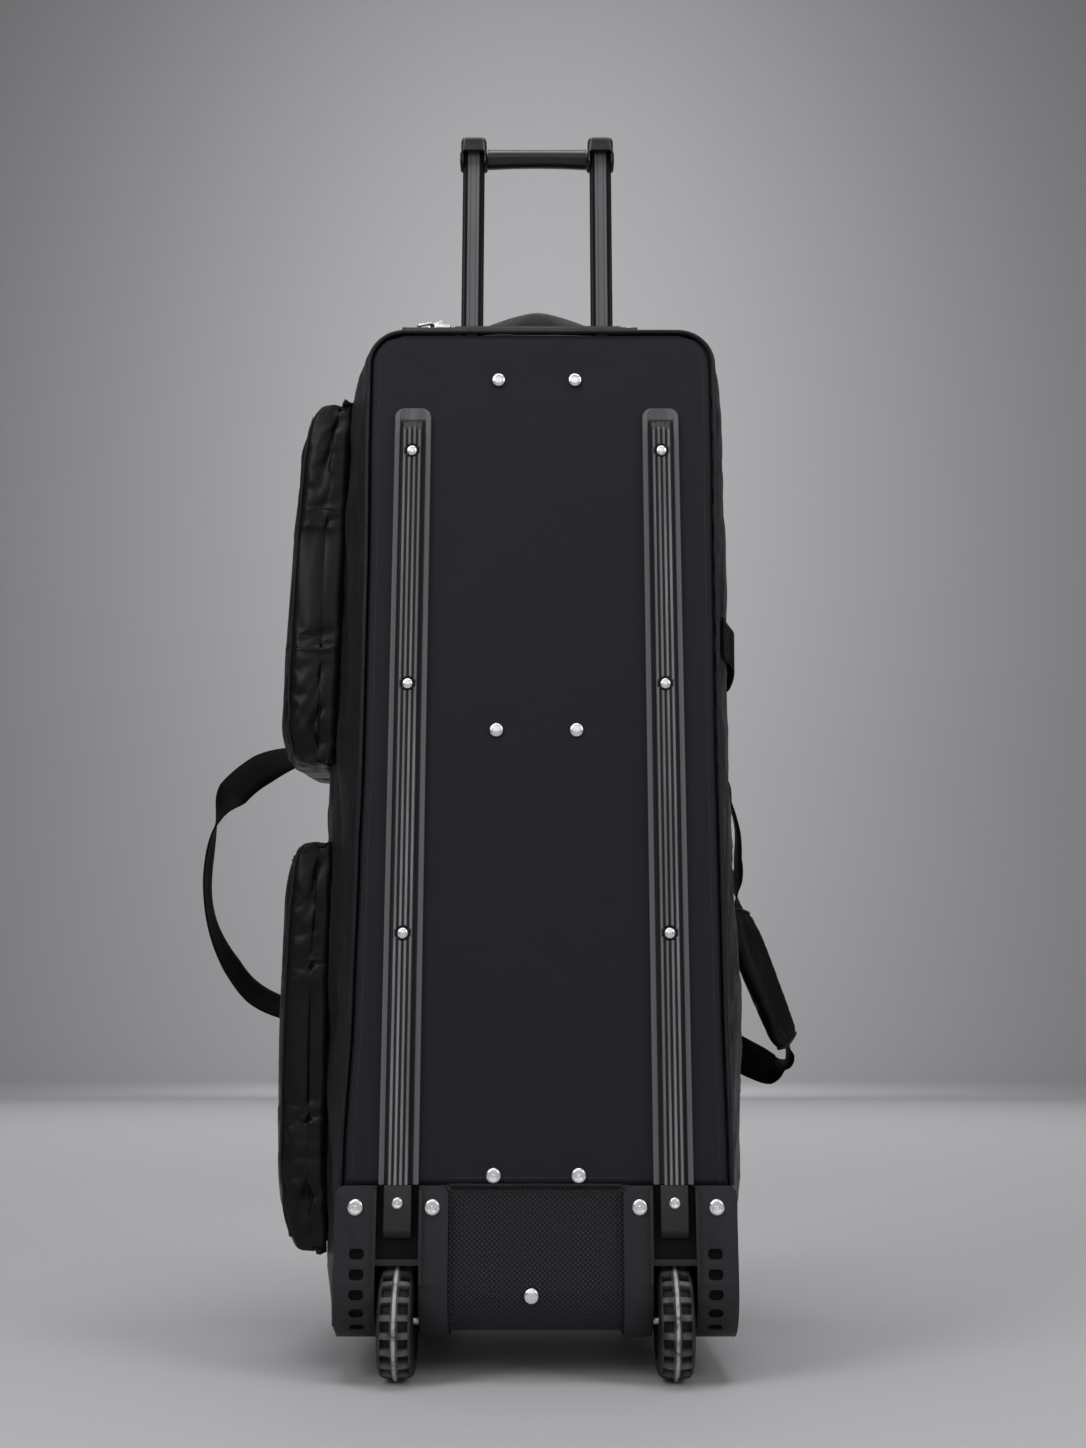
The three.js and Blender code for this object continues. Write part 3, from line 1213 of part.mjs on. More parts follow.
function guardProfile(inset) {
  const outer = BASE_BEND + GAP + inset;
  const centre = new THREE.Vector2(BASE_BEND, FLOOR_CLEARANCE + BASE_BEND);
  return arcPoints(centre.x, centre.y, outer, 180, 270, BEND_STEPS);
}

// Guard: moulded shell round the lower corner with a channel for the rail, a wheel housing, slots
// pressed in beside the wheel and a raised frame round the channel
function guard(side) {
  const x = side * RAIL_X;
  const x0 = side < 0 ? x - GUARD_OUTER : x - GUARD_INNER;
  const x1 = side < 0 ? x + GUARD_INNER : x + GUARD_OUTER;
  const outer = guardProfile(GUARD_WALL);
  const inner = guardProfile(0);
  const profile = [
    new THREE.Vector2(GUARD_FACE, BASE_SEAM),
    ...outer,
    new THREE.Vector2(GUARD_REACH, FLOOR_CLEARANCE - GAP - GUARD_WALL),
    new THREE.Vector2(GUARD_REACH, FLOOR_CLEARANCE - GAP),
    ...inner.reverse(),
    new THREE.Vector2(-GAP, BASE_SEAM),
  ];
  const skin = barAlongX(profile, x0, x1);
  const half = CAVITY_HALF + HOUSING_WALL;
  const housing = barAlongX(wheelSpace(HOUSING_WALL).map((point) => {
    return new THREE.Vector2(Math.max(point.x, GUARD_FACE / 2), Math.max(point.y, FLOOR_CLEARANCE - GUARD_WALL / 2));
  }), x - half, x + half);
  const trimmed = surface(solid(housing).subtract(solid(guardOutside())));
  const channelHalf = CHANNEL_WIDTH / 2;
  const ribs = [-1, 1].map((edge) => {
    const middle = x + edge * (channelHalf + CHANNEL_RIB / 2);
    return block(
      middle - CHANNEL_RIB / 2,
      middle + CHANNEL_RIB / 2,
      GUARD_FACE - CHANNEL_RIB,
      GUARD_FACE + CHANNEL_DEPTH,
      BASE_BEND + FLOOR_CLEARANCE,
      BASE_SEAM - CHANNEL_RIB,
    );
  });
  const channel = block(
    x - channelHalf,
    x + channelHalf,
    OUTSIDE,
    GUARD_FACE + CHANNEL_DEPTH,
    BASE_SEAM - CHANNEL_HEIGHT,
    BASE_SEAM + CHANNEL_RIB,
  );
  const space = barAlongX(wheelSpace(0), x - CAVITY_HALF, x + CAVITY_HALF);
  const bore = new THREE.CylinderGeometry(AXLE_RADIUS + GAP, AXLE_RADIUS + GAP, 2 * half + 4, 16);
  bore.rotateZ(Math.PI / 2).translate(x, WHEEL_DEPTH, WHEEL_RADIUS);
  return cut(joined(skin, trimmed, ...ribs), channel, space, bore, guardCorners(x0, x1), ...guardSlots(side, x));
}

// Space outside the guard's outer face, used to trim the wheel housing to it
function guardOutside() {
  const outer = guardProfile(GUARD_WALL);
  const profile = [
    new THREE.Vector2(OUTSIDE, BASE_SEAM),
    new THREE.Vector2(OUTSIDE, OUTSIDE),
    new THREE.Vector2(GUARD_REACH, OUTSIDE),
    new THREE.Vector2(GUARD_REACH, FLOOR_CLEARANCE - GAP - GUARD_WALL),
    ...outer.reverse(),
    new THREE.Vector2(GUARD_FACE, BASE_SEAM),
  ];
  const reach = RAIL_X + GUARD_OUTER;
  return barAlongX(profile, -reach, reach);
}

// Rounds off the two upper corners of a guard
function guardCorners(x0, x1) {
  const frame = block(
    x0 - GUARD_CORNER,
    x1 + GUARD_CORNER,
    OUTSIDE,
    0,
    BASE_SEAM - 2 * GUARD_CORNER,
    BASE_SEAM + GUARD_CORNER,
  );
  const keep = roundedOutline(x0, x1, BASE_SEAM - 4 * GUARD_CORNER, BASE_SEAM, GUARD_CORNER, 3);
  return cut(frame, plateAlongY(keep, OUTSIDE - 1, 1));
}

function guardSlots(side, x) {
  const middle = x + side * (GUARD_OUTER - SLOT_EDGE);
  return Array.from({ length: SLOT_COUNT }, (_, i) => {
    const z = BASE_SEAM - SLOT_DROP - i * SLOT_PITCH;
    return block(
      middle - SLOT_LENGTH / 2,
      middle + SLOT_LENGTH / 2,
      OUTSIDE,
      GUARD_FACE + SLOT_DEPTH,
      z - SLOT_HEIGHT / 2,
      z + SLOT_HEIGHT / 2,
    );
  });
}

// Wheel: tyre with a ring of cross lugs each side of a centre rib, on a dished hub
function tyre(side) {
  const x = side * RAIL_X;
  const stations = 2 * TREAD_LUGS;
  const half = WHEEL_WIDTH / 2;
  const bore = HUB_RADIUS + GAP;
  const base = WHEEL_RADIUS - TREAD_DEPTH;
  const ring = (i) => {
    const angle = (i * 2 * Math.PI) / stations;
    const lug = i % 2 === 0 ? WHEEL_RADIUS - CENTRE_RIB_RISE : base;
    const profile = [
      [-half, bore],
      [-half, lug - TREAD_SHOULDER],
      [-half + TREAD_SHOULDER, lug],
      [-TREAD_SHOULDER, lug],
      [0, WHEEL_RADIUS],
      [TREAD_SHOULDER, lug],
      [half - TREAD_SHOULDER, lug],
      [half, lug - TREAD_SHOULDER],
      [half, bore],
    ];
    return profile.map(([u, r]) => new THREE.Vector3(
      x + u,
      WHEEL_DEPTH + r * Math.cos(angle),
      WHEEL_RADIUS + r * Math.sin(angle),
    ));
  };
  const rings = Array.from({ length: stations }, (_, i) => ring(i));
  const list = [];
  for (let i = 0; i < stations; i += 1) {
    const next = rings[(i + 1) % stations];
    for (let j = 0; j < next.length; j += 1) {
      const k = (j + 1) % next.length;
      quad(list, rings[i][j], next[j], next[k], rings[i][k]);
    }
  }
  return facets(list);
}

function lathedAlongX(profile, segments, x, y, z) {
  const turned = new THREE.LatheGeometry(profile.map(([r, u]) => new THREE.Vector2(r, u)), segments);
  return turned.rotateZ(-Math.PI / 2).translate(x, y, z);
}

function hub(side) {
  const bore = AXLE_RADIUS + AXLE_CLEARANCE;
  const half = HUB_WIDTH / 2;
  const boss = bore + HUB_BOSS;
  const dish = half - HUB_DISH;
  const profile = [
    [bore, -half],
    [boss, -half],
    [boss + 2, -dish],
    [HUB_RADIUS - HUB_RIM, -dish],
    [HUB_RADIUS, -half],
    [HUB_RADIUS, half],
    [HUB_RADIUS - HUB_RIM, dish],
    [boss + 2, dish],
    [boss, half],
    [bore, half],
    [bore, -half],
  ];
  return lathedAlongX(profile, 20, side * RAIL_X, WHEEL_DEPTH, WHEEL_RADIUS);
}

function axle(side) {
  const length = 2 * (CAVITY_HALF + HOUSING_WALL);
  const rod = new THREE.CylinderGeometry(AXLE_RADIUS, AXLE_RADIUS, length, 24);
  return rod.rotateZ(Math.PI / 2).translate(side * RAIL_X, WHEEL_DEPTH, WHEEL_RADIUS);
}

// Foot under the front edge, so that the bag stands level
function foot(side) {
  const x = side * (RAIL_X - FOOT_OFFSET);
  const y = BAG_DEPTH - FOOT_INSET;
  const top = FLOOR_CLEARANCE - GAP;
  const levels = [
    { z: 0, share: 0.86 },
    { z: FOOT_FLANGE - 1, share: 0.94 },
    { z: top - FOOT_FLANGE, share: 1 },
    { z: top - FOOT_FLANGE, share: 1.2 },
    { z: top, share: 1.2 },
  ];
  return loft(levels.map((level) => {
    const halfLength = (FOOT_LENGTH / 2) * level.share;
    const halfDepth = (FOOT_DEPTH / 2) * level.share;
    const round = FOOT_ROUND * level.share;
    const outline = roundedOutline(x - halfLength, x + halfLength, y - halfDepth, y + halfDepth, round, 2);
    return outline.map((point) => new THREE.Vector3(point.x, point.y, level.z));
  }));
}

// Domed stud facing out of the skid-rail face, its flat back at the given depth
function stud(diameter, x, seat, z) {
  const radius = diameter / 2;
  const profile = [
    new THREE.Vector2(0, 0),
    new THREE.Vector2(radius, 0),
    new THREE.Vector2(radius * STUD_CROWN, STUD_RISE * STUD_EDGE),
    new THREE.Vector2(0, STUD_RISE),
  ];
  const head = new THREE.LatheGeometry(profile, 8);
  return head.rotateX(Math.PI).translate(x, seat, z);
}

// Assembly
add('back_panel', backPanel(), finishes.panelCloth);
add('base_panel', basePanel(), finishes.baseCloth);
add('body_wall', bodyWall(), finishes.sideCloth);
add('front_panel', frontPanel(), finishes.panelCloth);
add('main_zip', mainZip(), finishes.trim);
add('back_piping', seamPiping(BASE_SEAM, 0, SEAM_STEP - GAP - PIPING / 2), finishes.trim);
add('base_piping', basePiping(), finishes.trim);
add('handle_zip', handleZip(), finishes.trim);
add('handle_flap', handleFlap(), finishes.sideCloth);
add('upper_pocket', pocket(UPPER_POCKET), finishes.pocketCloth);
add('lower_pocket', pocket(LOWER_POCKET), finishes.pocketCloth);
add('upper_pocket_zip', pocketZip(UPPER_POCKET), finishes.trim);
add('lower_pocket_zip', pocketZip(LOWER_POCKET), finishes.trim);
add('side_handle', sideHandle(), finishes.webbing);
add('left_strap', strap(LEFT_STRAP, -1), finishes.webbing);
add('right_strap', strap(RIGHT_STRAP, 1), finishes.webbing);
add('grip_wrap', gripWrap(), finishes.sideCloth);
add('zip_slider', zipSlider(), finishes.nickel);
add('zip_pull', zipPull(), finishes.nickel);
add('zip_stop', zipStop(), finishes.nickel);
add('trolley_frame', trolleyFrame(), finishes.tube);
add('handle_grip', handleGrip(), finishes.handlePlastic);

for (const side of [-1, 1]) {
  const name = side < 0 ? 'left' : 'right';
  const x = side * RAIL_X;
  add(`handle_tube_${name}`, handleTube(side), finishes.tube);
  add(`handle_cap_${name}`, handleCap(side), finishes.handlePlastic);
  add(`rail_${name}`, rail(side), finishes.railPlastic);
  add(`rail_end_${name}`, railEnd(side), finishes.railPlastic);
  add(`guard_${name}`, guard(side), finishes.guardPlastic);
  add(`tyre_${name}`, tyre(side), finishes.rubber);
  add(`hub_${name}`, hub(side), finishes.wheelPlastic);
  add(`axle_${name}`, axle(side), finishes.steel);
  add(`foot_${name}`, foot(side), finishes.guardPlastic);
  const addStud = (label, diameter, studX, seat, z) => {
    add(label, stud(diameter, studX, seat, z), finishes.nickel);
  };
  STUD_HEIGHTS.forEach((z, i) => addStud(`rail_stud_${name}_${i + 1}`, RAIL_STUD, x, BAR_FACE - GAP, z));
  const endSeat = GUARD_FACE + CHANNEL_DEPTH - GAP - RAIL_END_RISE - GAP;
  addStud(`rail_end_stud_${name}`, RAIL_STUD, x, endSeat, BASE_SEAM - END_STUD_DROP);
  const outerX = x + side * (GUARD_OUTER - SCREW_OUTER);
  const innerX = x - side * (GUARD_INNER - SCREW_INNER);
  addStud(`guard_screw_outer_${name}`, GUARD_SCREW, outerX, GUARD_FACE - GAP, BASE_SEAM - SCREW_DROP);
  addStud(`guard_screw_inner_${name}`, GUARD_SCREW, innerX, GUARD_FACE - GAP, BASE_SEAM - SCREW_DROP);
  const panelX = (side * PANEL_STUD_SPACING) / 2;
  BRACKET_HEIGHTS.forEach((z, i) => addStud(`panel_stud_${name}_${i + 1}`, PANEL_STUD, panelX, -GAP, z));
}
add('base_stud', stud(PANEL_STUD, BASE_STUD_X, -GAP, FLOOR_CLEARANCE + BASE_STUD_RISE), finishes.nickel);

// Origin: the middle of the whole bag's box, on the floor
const box = new THREE.Box3().setFromObject(bag);
const middle = box.getCenter(new THREE.Vector3());
bag.position.set(-middle.x, -middle.y, -box.min.z);

export default bag;
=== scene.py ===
"""Wheeled cricket kit bag, seen from its skid-rail face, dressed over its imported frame."""
import math

import bmesh
import bpy
from mathutils import Matrix, Vector, noise
from mathutils.bvhtree import BVHTree


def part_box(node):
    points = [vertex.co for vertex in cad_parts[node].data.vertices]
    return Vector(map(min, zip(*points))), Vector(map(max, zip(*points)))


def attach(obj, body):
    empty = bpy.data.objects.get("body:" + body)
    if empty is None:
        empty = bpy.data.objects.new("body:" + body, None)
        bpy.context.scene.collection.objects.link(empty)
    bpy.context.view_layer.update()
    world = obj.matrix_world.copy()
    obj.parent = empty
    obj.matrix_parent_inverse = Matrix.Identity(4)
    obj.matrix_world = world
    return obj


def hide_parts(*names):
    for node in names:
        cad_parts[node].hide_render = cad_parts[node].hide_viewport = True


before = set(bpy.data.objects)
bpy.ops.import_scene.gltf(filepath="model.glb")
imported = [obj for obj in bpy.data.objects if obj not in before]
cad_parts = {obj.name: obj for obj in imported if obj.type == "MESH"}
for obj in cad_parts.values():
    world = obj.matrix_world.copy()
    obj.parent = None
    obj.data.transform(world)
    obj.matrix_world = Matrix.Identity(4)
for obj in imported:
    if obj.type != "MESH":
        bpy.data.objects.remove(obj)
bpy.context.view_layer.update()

# Sizes, millimetres
FLOOR_CLEARANCE = 38
BAG_HEIGHT = 936
BAG_DEPTH = 330
PANEL_HALF_WIDTH = 168
CORNER_RADIUS = 32
BASE_HEIGHT = 127
BASE_BEND = 45
FRONT_BEND = 30
SIDE_SWELL = 50
TOP_SWELL = 20
FRONT_SWELL = 34
FRONT_ROUNDNESS = 2.6
SIDE_FULLNESS = 0.85
TOP_FULLNESS = 0.45
SWELL_ROUNDNESS = 2.2
CLOTH = 2
GAP = 0.3
SEAM_STEP = 3
PIPING = 4.4
BASE_PIPING = 3.2
ZIP_BORDER = 0.16
FRONT_FOOT_RADIUS = 26

TOP = FLOOR_CLEARANCE + BAG_HEIGHT
BASE_SEAM = FLOOR_CLEARANCE + BASE_HEIGHT
CORNER_FOOT = TOP - CORNER_RADIUS
WALL_FAR = BAG_DEPTH - CLOTH - GAP
FRONT_FOOT = FLOOR_CLEARANCE + FRONT_BEND + CLOTH

POCKET_HEIGHT = 374
POCKET_NEAR = 62
POCKET_FAR = 272
POCKET_SEAT = 0.7
POCKET_FOOT_RISE = 13
POCKET_SQUARENESS = 12.0
UPPER_POCKET = {"foot": 516, "depth": 50}
LOWER_POCKET = {"foot": 64, "depth": 42}
# Tucks in a pocket's near side: (out, up) of both ends as shares of its depth and height, then depth in mm.
UPPER_TUCKS = [
    (0.04, 0.95, 0.64, 0.68, 6.5), (0.00, 0.56, 0.46, 0.50, 3.4), (0.00, 0.43, 0.26, 0.36, 4.0),
    (0.12, 0.21, 0.60, 0.16, 6.0), (0.02, 0.31, 0.36, 0.25, 2.6), (0.10, 0.12, 0.50, 0.17, 3.5),
    (0.22, 1.00, 0.30, 0.93, 3.2), (0.42, 1.00, 0.48, 0.94, 2.8), (0.62, 1.00, 0.66, 0.95, 2.2),
    (0.16, 0.01, 0.34, 0.09, 3.6), (0.48, 0.00, 0.54, 0.07, 3.0), (0.76, 0.01, 0.70, 0.07, 2.4),
]
LOWER_TUCKS = [
    (0.02, 0.92, 0.56, 0.76, 5.0), (0.00, 0.64, 0.42, 0.55, 4.4), (0.02, 0.42, 0.55, 0.31, 4.8),
    (0.08, 0.20, 0.60, 0.13, 5.0), (0.00, 0.50, 0.24, 0.47, 2.8), (0.05, 0.78, 0.30, 0.70, 3.0),
    (0.20, 1.00, 0.26, 0.92, 3.4), (0.40, 1.00, 0.45, 0.93, 3.0), (0.60, 1.00, 0.62, 0.94, 2.6),
    (0.20, 0.01, 0.36, 0.08, 3.4), (0.52, 0.00, 0.50, 0.07, 2.8), (0.78, 0.02, 0.70, 0.07, 2.2),
]

RAIL_X = 120.5
RAIL_WIDTH = 35
RAIL_HEAD = TOP - 81
STUD_HEIGHTS = [RAIL_HEAD - 46 - i * 231.5 for i in range(3)]
PANEL_STUD_X = 37.5
PANEL_RIVET_HEIGHTS = (TOP - 49.5, TOP - 401)
PANEL_SCREW_HEIGHT = BASE_SEAM + 8
WHEEL_RADIUS = 50
WHEEL_WIDTH = 31
WHEEL_DEPTH = 22
TREAD_LUGS = 20
GUARD_INNER = 44
GUARD_OUTER = 55
GUARD_FACE = -5.3
BAR_FACE = -8.9
GUARD_SLOT = (13, 7.0, 9.2)
GUARD_SLOT_CORNER = 4.4

TUBE_X = 65
TUBE_WIDTH = 22
SLOT_HALF_LENGTH = 84
SLOT_NEAR = 11.5
SLOT_FAR = 30.5
ZIP_LEFT = -134
ZIP_RIGHT = 100
ZIP_NEAR = 4.5
ZIP_FAR = 44
ZIP_SEAT = 0.8
ZIP_THICKNESS = 2
TOOTH_PITCH = 1.9
FLAP_HALF_LENGTH = 58
FLAP_RISE = 24

WEBBING_WIDTH = 38
WEBBING = 2.2
STRAP_STATIONS = 220
STRAP_CURL = 1.5
WRAP_WIDTH = 50
WRAP_THICKNESS = 17
WRAP_FROM = 0.42
WRAP_TO = 0.68
SIDE_HANDLE_HEIGHT = TOP - 305

MM = 0.001
low_left, high_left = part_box("tyre_left")
low_right, high_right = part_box("tyre_right")
CENTRE_X = (low_left.x + high_left.x + low_right.x + high_right.x) / 4
FACE_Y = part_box("back_panel")[0].y


def place(x, y, z):
    """A point in metres in the row's frame from millimetres on the bag's own axes."""
    return Vector((CENTRE_X + x * MM, FACE_Y + y * MM, z * MM))


# at: share of the bag's height. Seams: shares of the panel's half width. Swells: shares of the side swell.
SIDE_SECTIONS = [
    {"at": 0.00, "left_seam": 1.02, "right_seam": 1.00, "left_swell": 0.36, "right_swell": 0.16},
    {"at": 0.07, "left_seam": 1.02, "right_seam": 1.01, "left_swell": 0.54, "right_swell": 0.30},
    {"at": 0.16, "left_seam": 1.01, "right_seam": 1.01, "left_swell": 0.72, "right_swell": 0.50},
    {"at": 0.30, "left_seam": 0.98, "right_seam": 1.00, "left_swell": 0.92, "right_swell": 0.66},
    {"at": 0.43, "left_seam": 0.97, "right_seam": 1.00, "left_swell": 0.98, "right_swell": 0.60},
    {"at": 0.55, "left_seam": 0.96, "right_seam": 1.00, "left_swell": 1.00, "right_swell": 0.52},
    {"at": 0.75, "left_seam": 0.96, "right_seam": 1.01, "left_swell": 0.92, "right_swell": 0.54},
    {"at": 0.90, "left_seam": 0.97, "right_seam": 1.02, "left_swell": 0.80, "right_swell": 0.50},
    {"at": 1.00, "left_seam": 0.97, "right_seam": 1.02, "left_swell": 0.62, "right_swell": 0.40},
]

# side: -1 left, 1 right. at: share of the height. back: share of the depth. turn: degrees from upright.
# long, wide: shares of the height. rise: share of the side swell.
SIDE_FOLDS = [
    {"side": -1, "at": 0.50, "back": 0.16, "turn": 22, "long": 0.060, "wide": 0.012, "rise": -0.10},
    {"side": -1, "at": 0.31, "back": 0.13, "turn": -14, "long": 0.090, "wide": 0.014, "rise": -0.09},
    {"side": -1, "at": 0.68, "back": 0.14, "turn": 10, "long": 0.100, "wide": 0.013, "rise": -0.08},
    {"side": -1, "at": 0.92, "back": 0.30, "turn": 48, "long": 0.045, "wide": 0.014, "rise": -0.10},
    {"side": -1, "at": 0.12, "back": 0.12, "turn": 16, "long": 0.060, "wide": 0.014, "rise": -0.07},
    {"side": 1, "at": 0.46, "back": 0.30, "turn": 12, "long": 0.120, "wide": 0.020, "rise": -0.12},
    {"side": 1, "at": 0.80, "back": 0.34, "turn": -18, "long": 0.090, "wide": 0.018, "rise": -0.10},
    {"side": 1, "at": 0.26, "back": 0.55, "turn": 30, "long": 0.090, "wide": 0.020, "rise": 0.09},
    {"side": 1, "at": 0.60, "back": 0.72, "turn": 70, "long": 0.070, "wide": 0.018, "rise": -0.09},
]

# at: share of the pocket's height. out: share of its depth. near: swing of its near edge.
POCKET_SECTIONS = [
    {"at": 0.00, "out": 0.86, "near": 0.06},
    {"at": 0.12, "out": 1.02, "near": -0.04},
    {"at": 0.35, "out": 1.04, "near": 0.00},
    {"at": 0.62, "out": 1.00, "near": 0.05},
    {"at": 0.86, "out": 0.96, "near": -0.03},
    {"at": 1.00, "out": 0.84, "near": 0.04},
]

POCKET_FOLDS = [
    {"at": 0.93, "back": 0.10, "turn": 38, "long": 0.110, "wide": 0.020, "rise": -0.16},
    {"at": 0.84, "back": 0.16, "turn": 26, "long": 0.120, "wide": 0.018, "rise": -0.12},
    {"at": 0.66, "back": 0.12, "turn": 16, "long": 0.120, "wide": 0.020, "rise": -0.10},
    {"at": 0.45, "back": 0.17, "turn": -12, "long": 0.110, "wide": 0.020, "rise": -0.09},
    {"at": 0.24, "back": 0.14, "turn": -30, "long": 0.110, "wide": 0.020, "rise": -0.13},
    {"at": 0.10, "back": 0.10, "turn": -44, "long": 0.090, "wide": 0.022, "rise": -0.16},
    {"at": 0.08, "back": 0.46, "turn": -8, "long": 0.080, "wide": 0.030, "rise": -0.12},
    {"at": 0.94, "back": 0.55, "turn": 10, "long": 0.070, "wide": 0.030, "rise": -0.11},
    {"at": 0.55, "back": 0.62, "turn": 32, "long": 0.150, "wide": 0.026, "rise": -0.08},
    {"at": 0.30, "back": 0.78, "turn": -24, "long": 0.130, "wide": 0.024, "rise": -0.09},
]

# Rows of a carry strap: out beyond the side, back from the skid-rail face, down from the top seam, turn.
LEFT_STRAP = [
    (1.9, 286, 357, 90), (1.9, 306, 357, 90), (1.9, 322, 357, 88), (14, 335, 357, 86), (60, 332, 358, 40),
    (98, 316, 363, 40), (130, 302, 382, 76), (157, 293, 412, 78), (170, 288, 446, 44), (175, 285, 486, 8),
    (174, 284, 528, 0), (166, 286, 566, -20), (149, 292, 604, -40), (129, 302, 634, -42),
    (98, 316, 652, -36), (60, 332, 659, -40), (14, 335, 661, -72), (1.9, 322, 661, -88),
    (1.9, 306, 661, -90), (1.9, 286, 661, -90),
]
RIGHT_STRAP = [
    (1.9, 286, 372, 90), (1.9, 306, 372, 90), (1.9, 322, 373, 86), (14, 334, 378, 70), (38, 331, 392, 44),
    (44, 319, 416, 24), (46, 307, 450, 34), (42, 299, 490, 50), (38, 294, 526, 64), (41, 290, 560, 70),
    (51, 288, 596, 72), (63, 287, 632, 72), (77, 288, 668, 68), (89, 292, 692, 52), (87, 298, 708, 0),
    (76, 304, 714, -50), (62, 312, 707, -70), (44, 322, 695, -78), (16, 335, 676, -89),
    (3.2, 324, 669, -90), (1.9, 306, 668, -90), (1.9, 286, 668, -90),
]


# Shader expressions
class Value:
    """A shader socket that Python's operators work on."""

    def __init__(self, finish, socket):
        self.finish = finish
        self.socket = socket

    def maths(self, operation, *others):
        inputs = {i: value for i, value in enumerate((self, *others))}
        return self.finish.node("ShaderNodeMath", {"operation": operation}, inputs)

    def __add__(self, other):
        return self.maths("ADD", other)

    def __sub__(self, other):
        return self.maths("SUBTRACT", other)

    def __mul__(self, other):
        return self.maths("MULTIPLY", other)

    def __rsub__(self, other):
        return self.finish.node("ShaderNodeMath", {"operation": "SUBTRACT"}, {0: other, 1: self})

    __radd__ = __add__
    __rmul__ = __mul__

    def sine(self):
        return self.maths("SINE")

    def absolute(self):
        return self.maths("ABSOLUTE")

    def smooth(self, low, high):
        return self.finish.node(
            "ShaderNodeMapRange",
            {"interpolation_type": "SMOOTHSTEP"},
            {"Value": self, "From Min": low, "From Max": high},
        )


class Finish:
    """One material: a principled shader and the nodes that vary it."""

    def __init__(self, name, colour, roughness, **uniform):
        self.material = bpy.data.materials.new(name)
        self.material.use_nodes = True
        self.tree = self.material.node_tree
        self.shader = self.tree.nodes["Principled BSDF"]
        self.colour = colour
        self.roughness = roughness
        self.set("Base Color", (*colour, 1))
        self.set("Roughness", roughness)
        for socket, value in uniform.items():
            self.set(socket.replace("_", " "), value)

    def set(self, socket, value):
        self.put(self.shader.inputs[socket], value)

    def put(self, socket, value):
        if isinstance(value, Value):
            self.tree.links.new(value.socket, socket)
        else:
            socket.default_value = value

    def node(self, kind, settings, inputs, output=0):
        made = self.tree.nodes.new(kind)
        for key, value in settings.items():
            setattr(made, key, value)
        for key, value in inputs.items():
            self.put(made.inputs[key], value)
        return Value(self, made.outputs[output])

    def split(self, vector):
        return [self.node("ShaderNodeSeparateXYZ", {}, {0: vector}, i) for i in range(3)]

    def object_place(self):
        return self.node("ShaderNodeTexCoord", {}, {}, "Object")

    def cloth_place(self):
        return self.node("ShaderNodeUVMap", {"uv_map": "UVMap"}, {})

    def noise(self, vector, scale, detail=3.0, roughness=0.55, stretch=None):
        if stretch:
            vector = self.node("ShaderNodeMapping", {}, {"Vector": vector, "Scale": stretch})
        inputs = {"Vector": vector, "Scale": scale, "Detail": detail, "Roughness": roughness}
        return self.node("ShaderNodeTexNoise", {"noise_dimensions": "3D"}, inputs, "Fac")

    def blend(self, share, first, second):
        settings = {"data_type": "RGBA", "blend_type": "MIX"}
        inputs = {"Factor": share, 6: (*first, 1) if isinstance(first, tuple) else first}
        inputs[7] = (*second, 1) if isinstance(second, tuple) else second
        return self.node("ShaderNodeMix", settings, inputs, 2)

    def bump(self, height, distance, strength=1.0, normal=None):
        inputs = {"Height": height, "Distance": distance, "Strength": strength}
        if normal:
            inputs["Normal"] = normal
        return self.node("ShaderNodeBump", {}, inputs)


def tinted(colour, share):
    return tuple(min(c * share, 1) for c in colour)


def plain_weave(u, v, pitch):
    turn = 2 * math.pi / pitch
    over = (u * turn).sine()
    under = (v * turn).sine()
    return over * under * 0.5 + 0.5


def basket_weave(u, v, pitch):
    """Fat threads that show as a diamond of dots, as on ballistic nylon."""
    turn = 2 * math.pi / pitch
    dots = (u * turn).sine() * (v * turn).sine()
    grain = (v * (turn * 3)).sine() * 0.12
    return dots.smooth(-0.35, 0.75) + grain


def cloth_finish(
    name, colour, roughness, pitch, weave=plain_weave, depth=0.00012, mottle=0.25, crease=0.0, sheen=0.2,
    gloss=0.3
):
    """Woven cloth on the piece's own map, which is in metres."""
    f = Finish(name, colour, roughness, Sheen_Weight=sheen, Sheen_Roughness=0.4, Specular_IOR_Level=gloss)
    spot = f.cloth_place()
    u, v, _ = f.split(spot)
    threads = weave(u, v, pitch)
    relief = 1.5 if weave is basket_weave else 0.22
    where = f.object_place()
    patches = f.noise(where, 7.0, 4.0)
    slubs = f.noise(spot, 260.0, 2.0, 0.6, (1.0, 0.16, 1.0))
    tone = patches * (2 * mottle) + threads * relief + slubs * 0.25 + (0.73 - relief * 0.36 - mottle)
    shade = f.node("ShaderNodeVectorMath", {"operation": "SCALE"}, {0: colour, "Scale": tone})
    dust = f.noise(where, 900.0, 1.0).smooth(0.73, 0.82) * 0.25
    f.set("Base Color", f.blend(dust, shade, tinted(colour, 3.0)))
    f.set("Roughness", roughness + (patches - 0.5) * 0.16 + (threads - 0.5) * 0.1)
    fine = f.bump(threads + slubs * 0.5, depth, 0.7)
    if crease:
        soft = f.noise(where, 26.0, 3.0, 0.5, (1.0, 1.0, 0.45))
        ridge = 1 - (soft - 0.5).absolute() * 5.0
        fine = f.bump(ridge.smooth(0.0, 1.0), crease, 0.6, fine)
    f.set("Normal", fine)
    return f.material


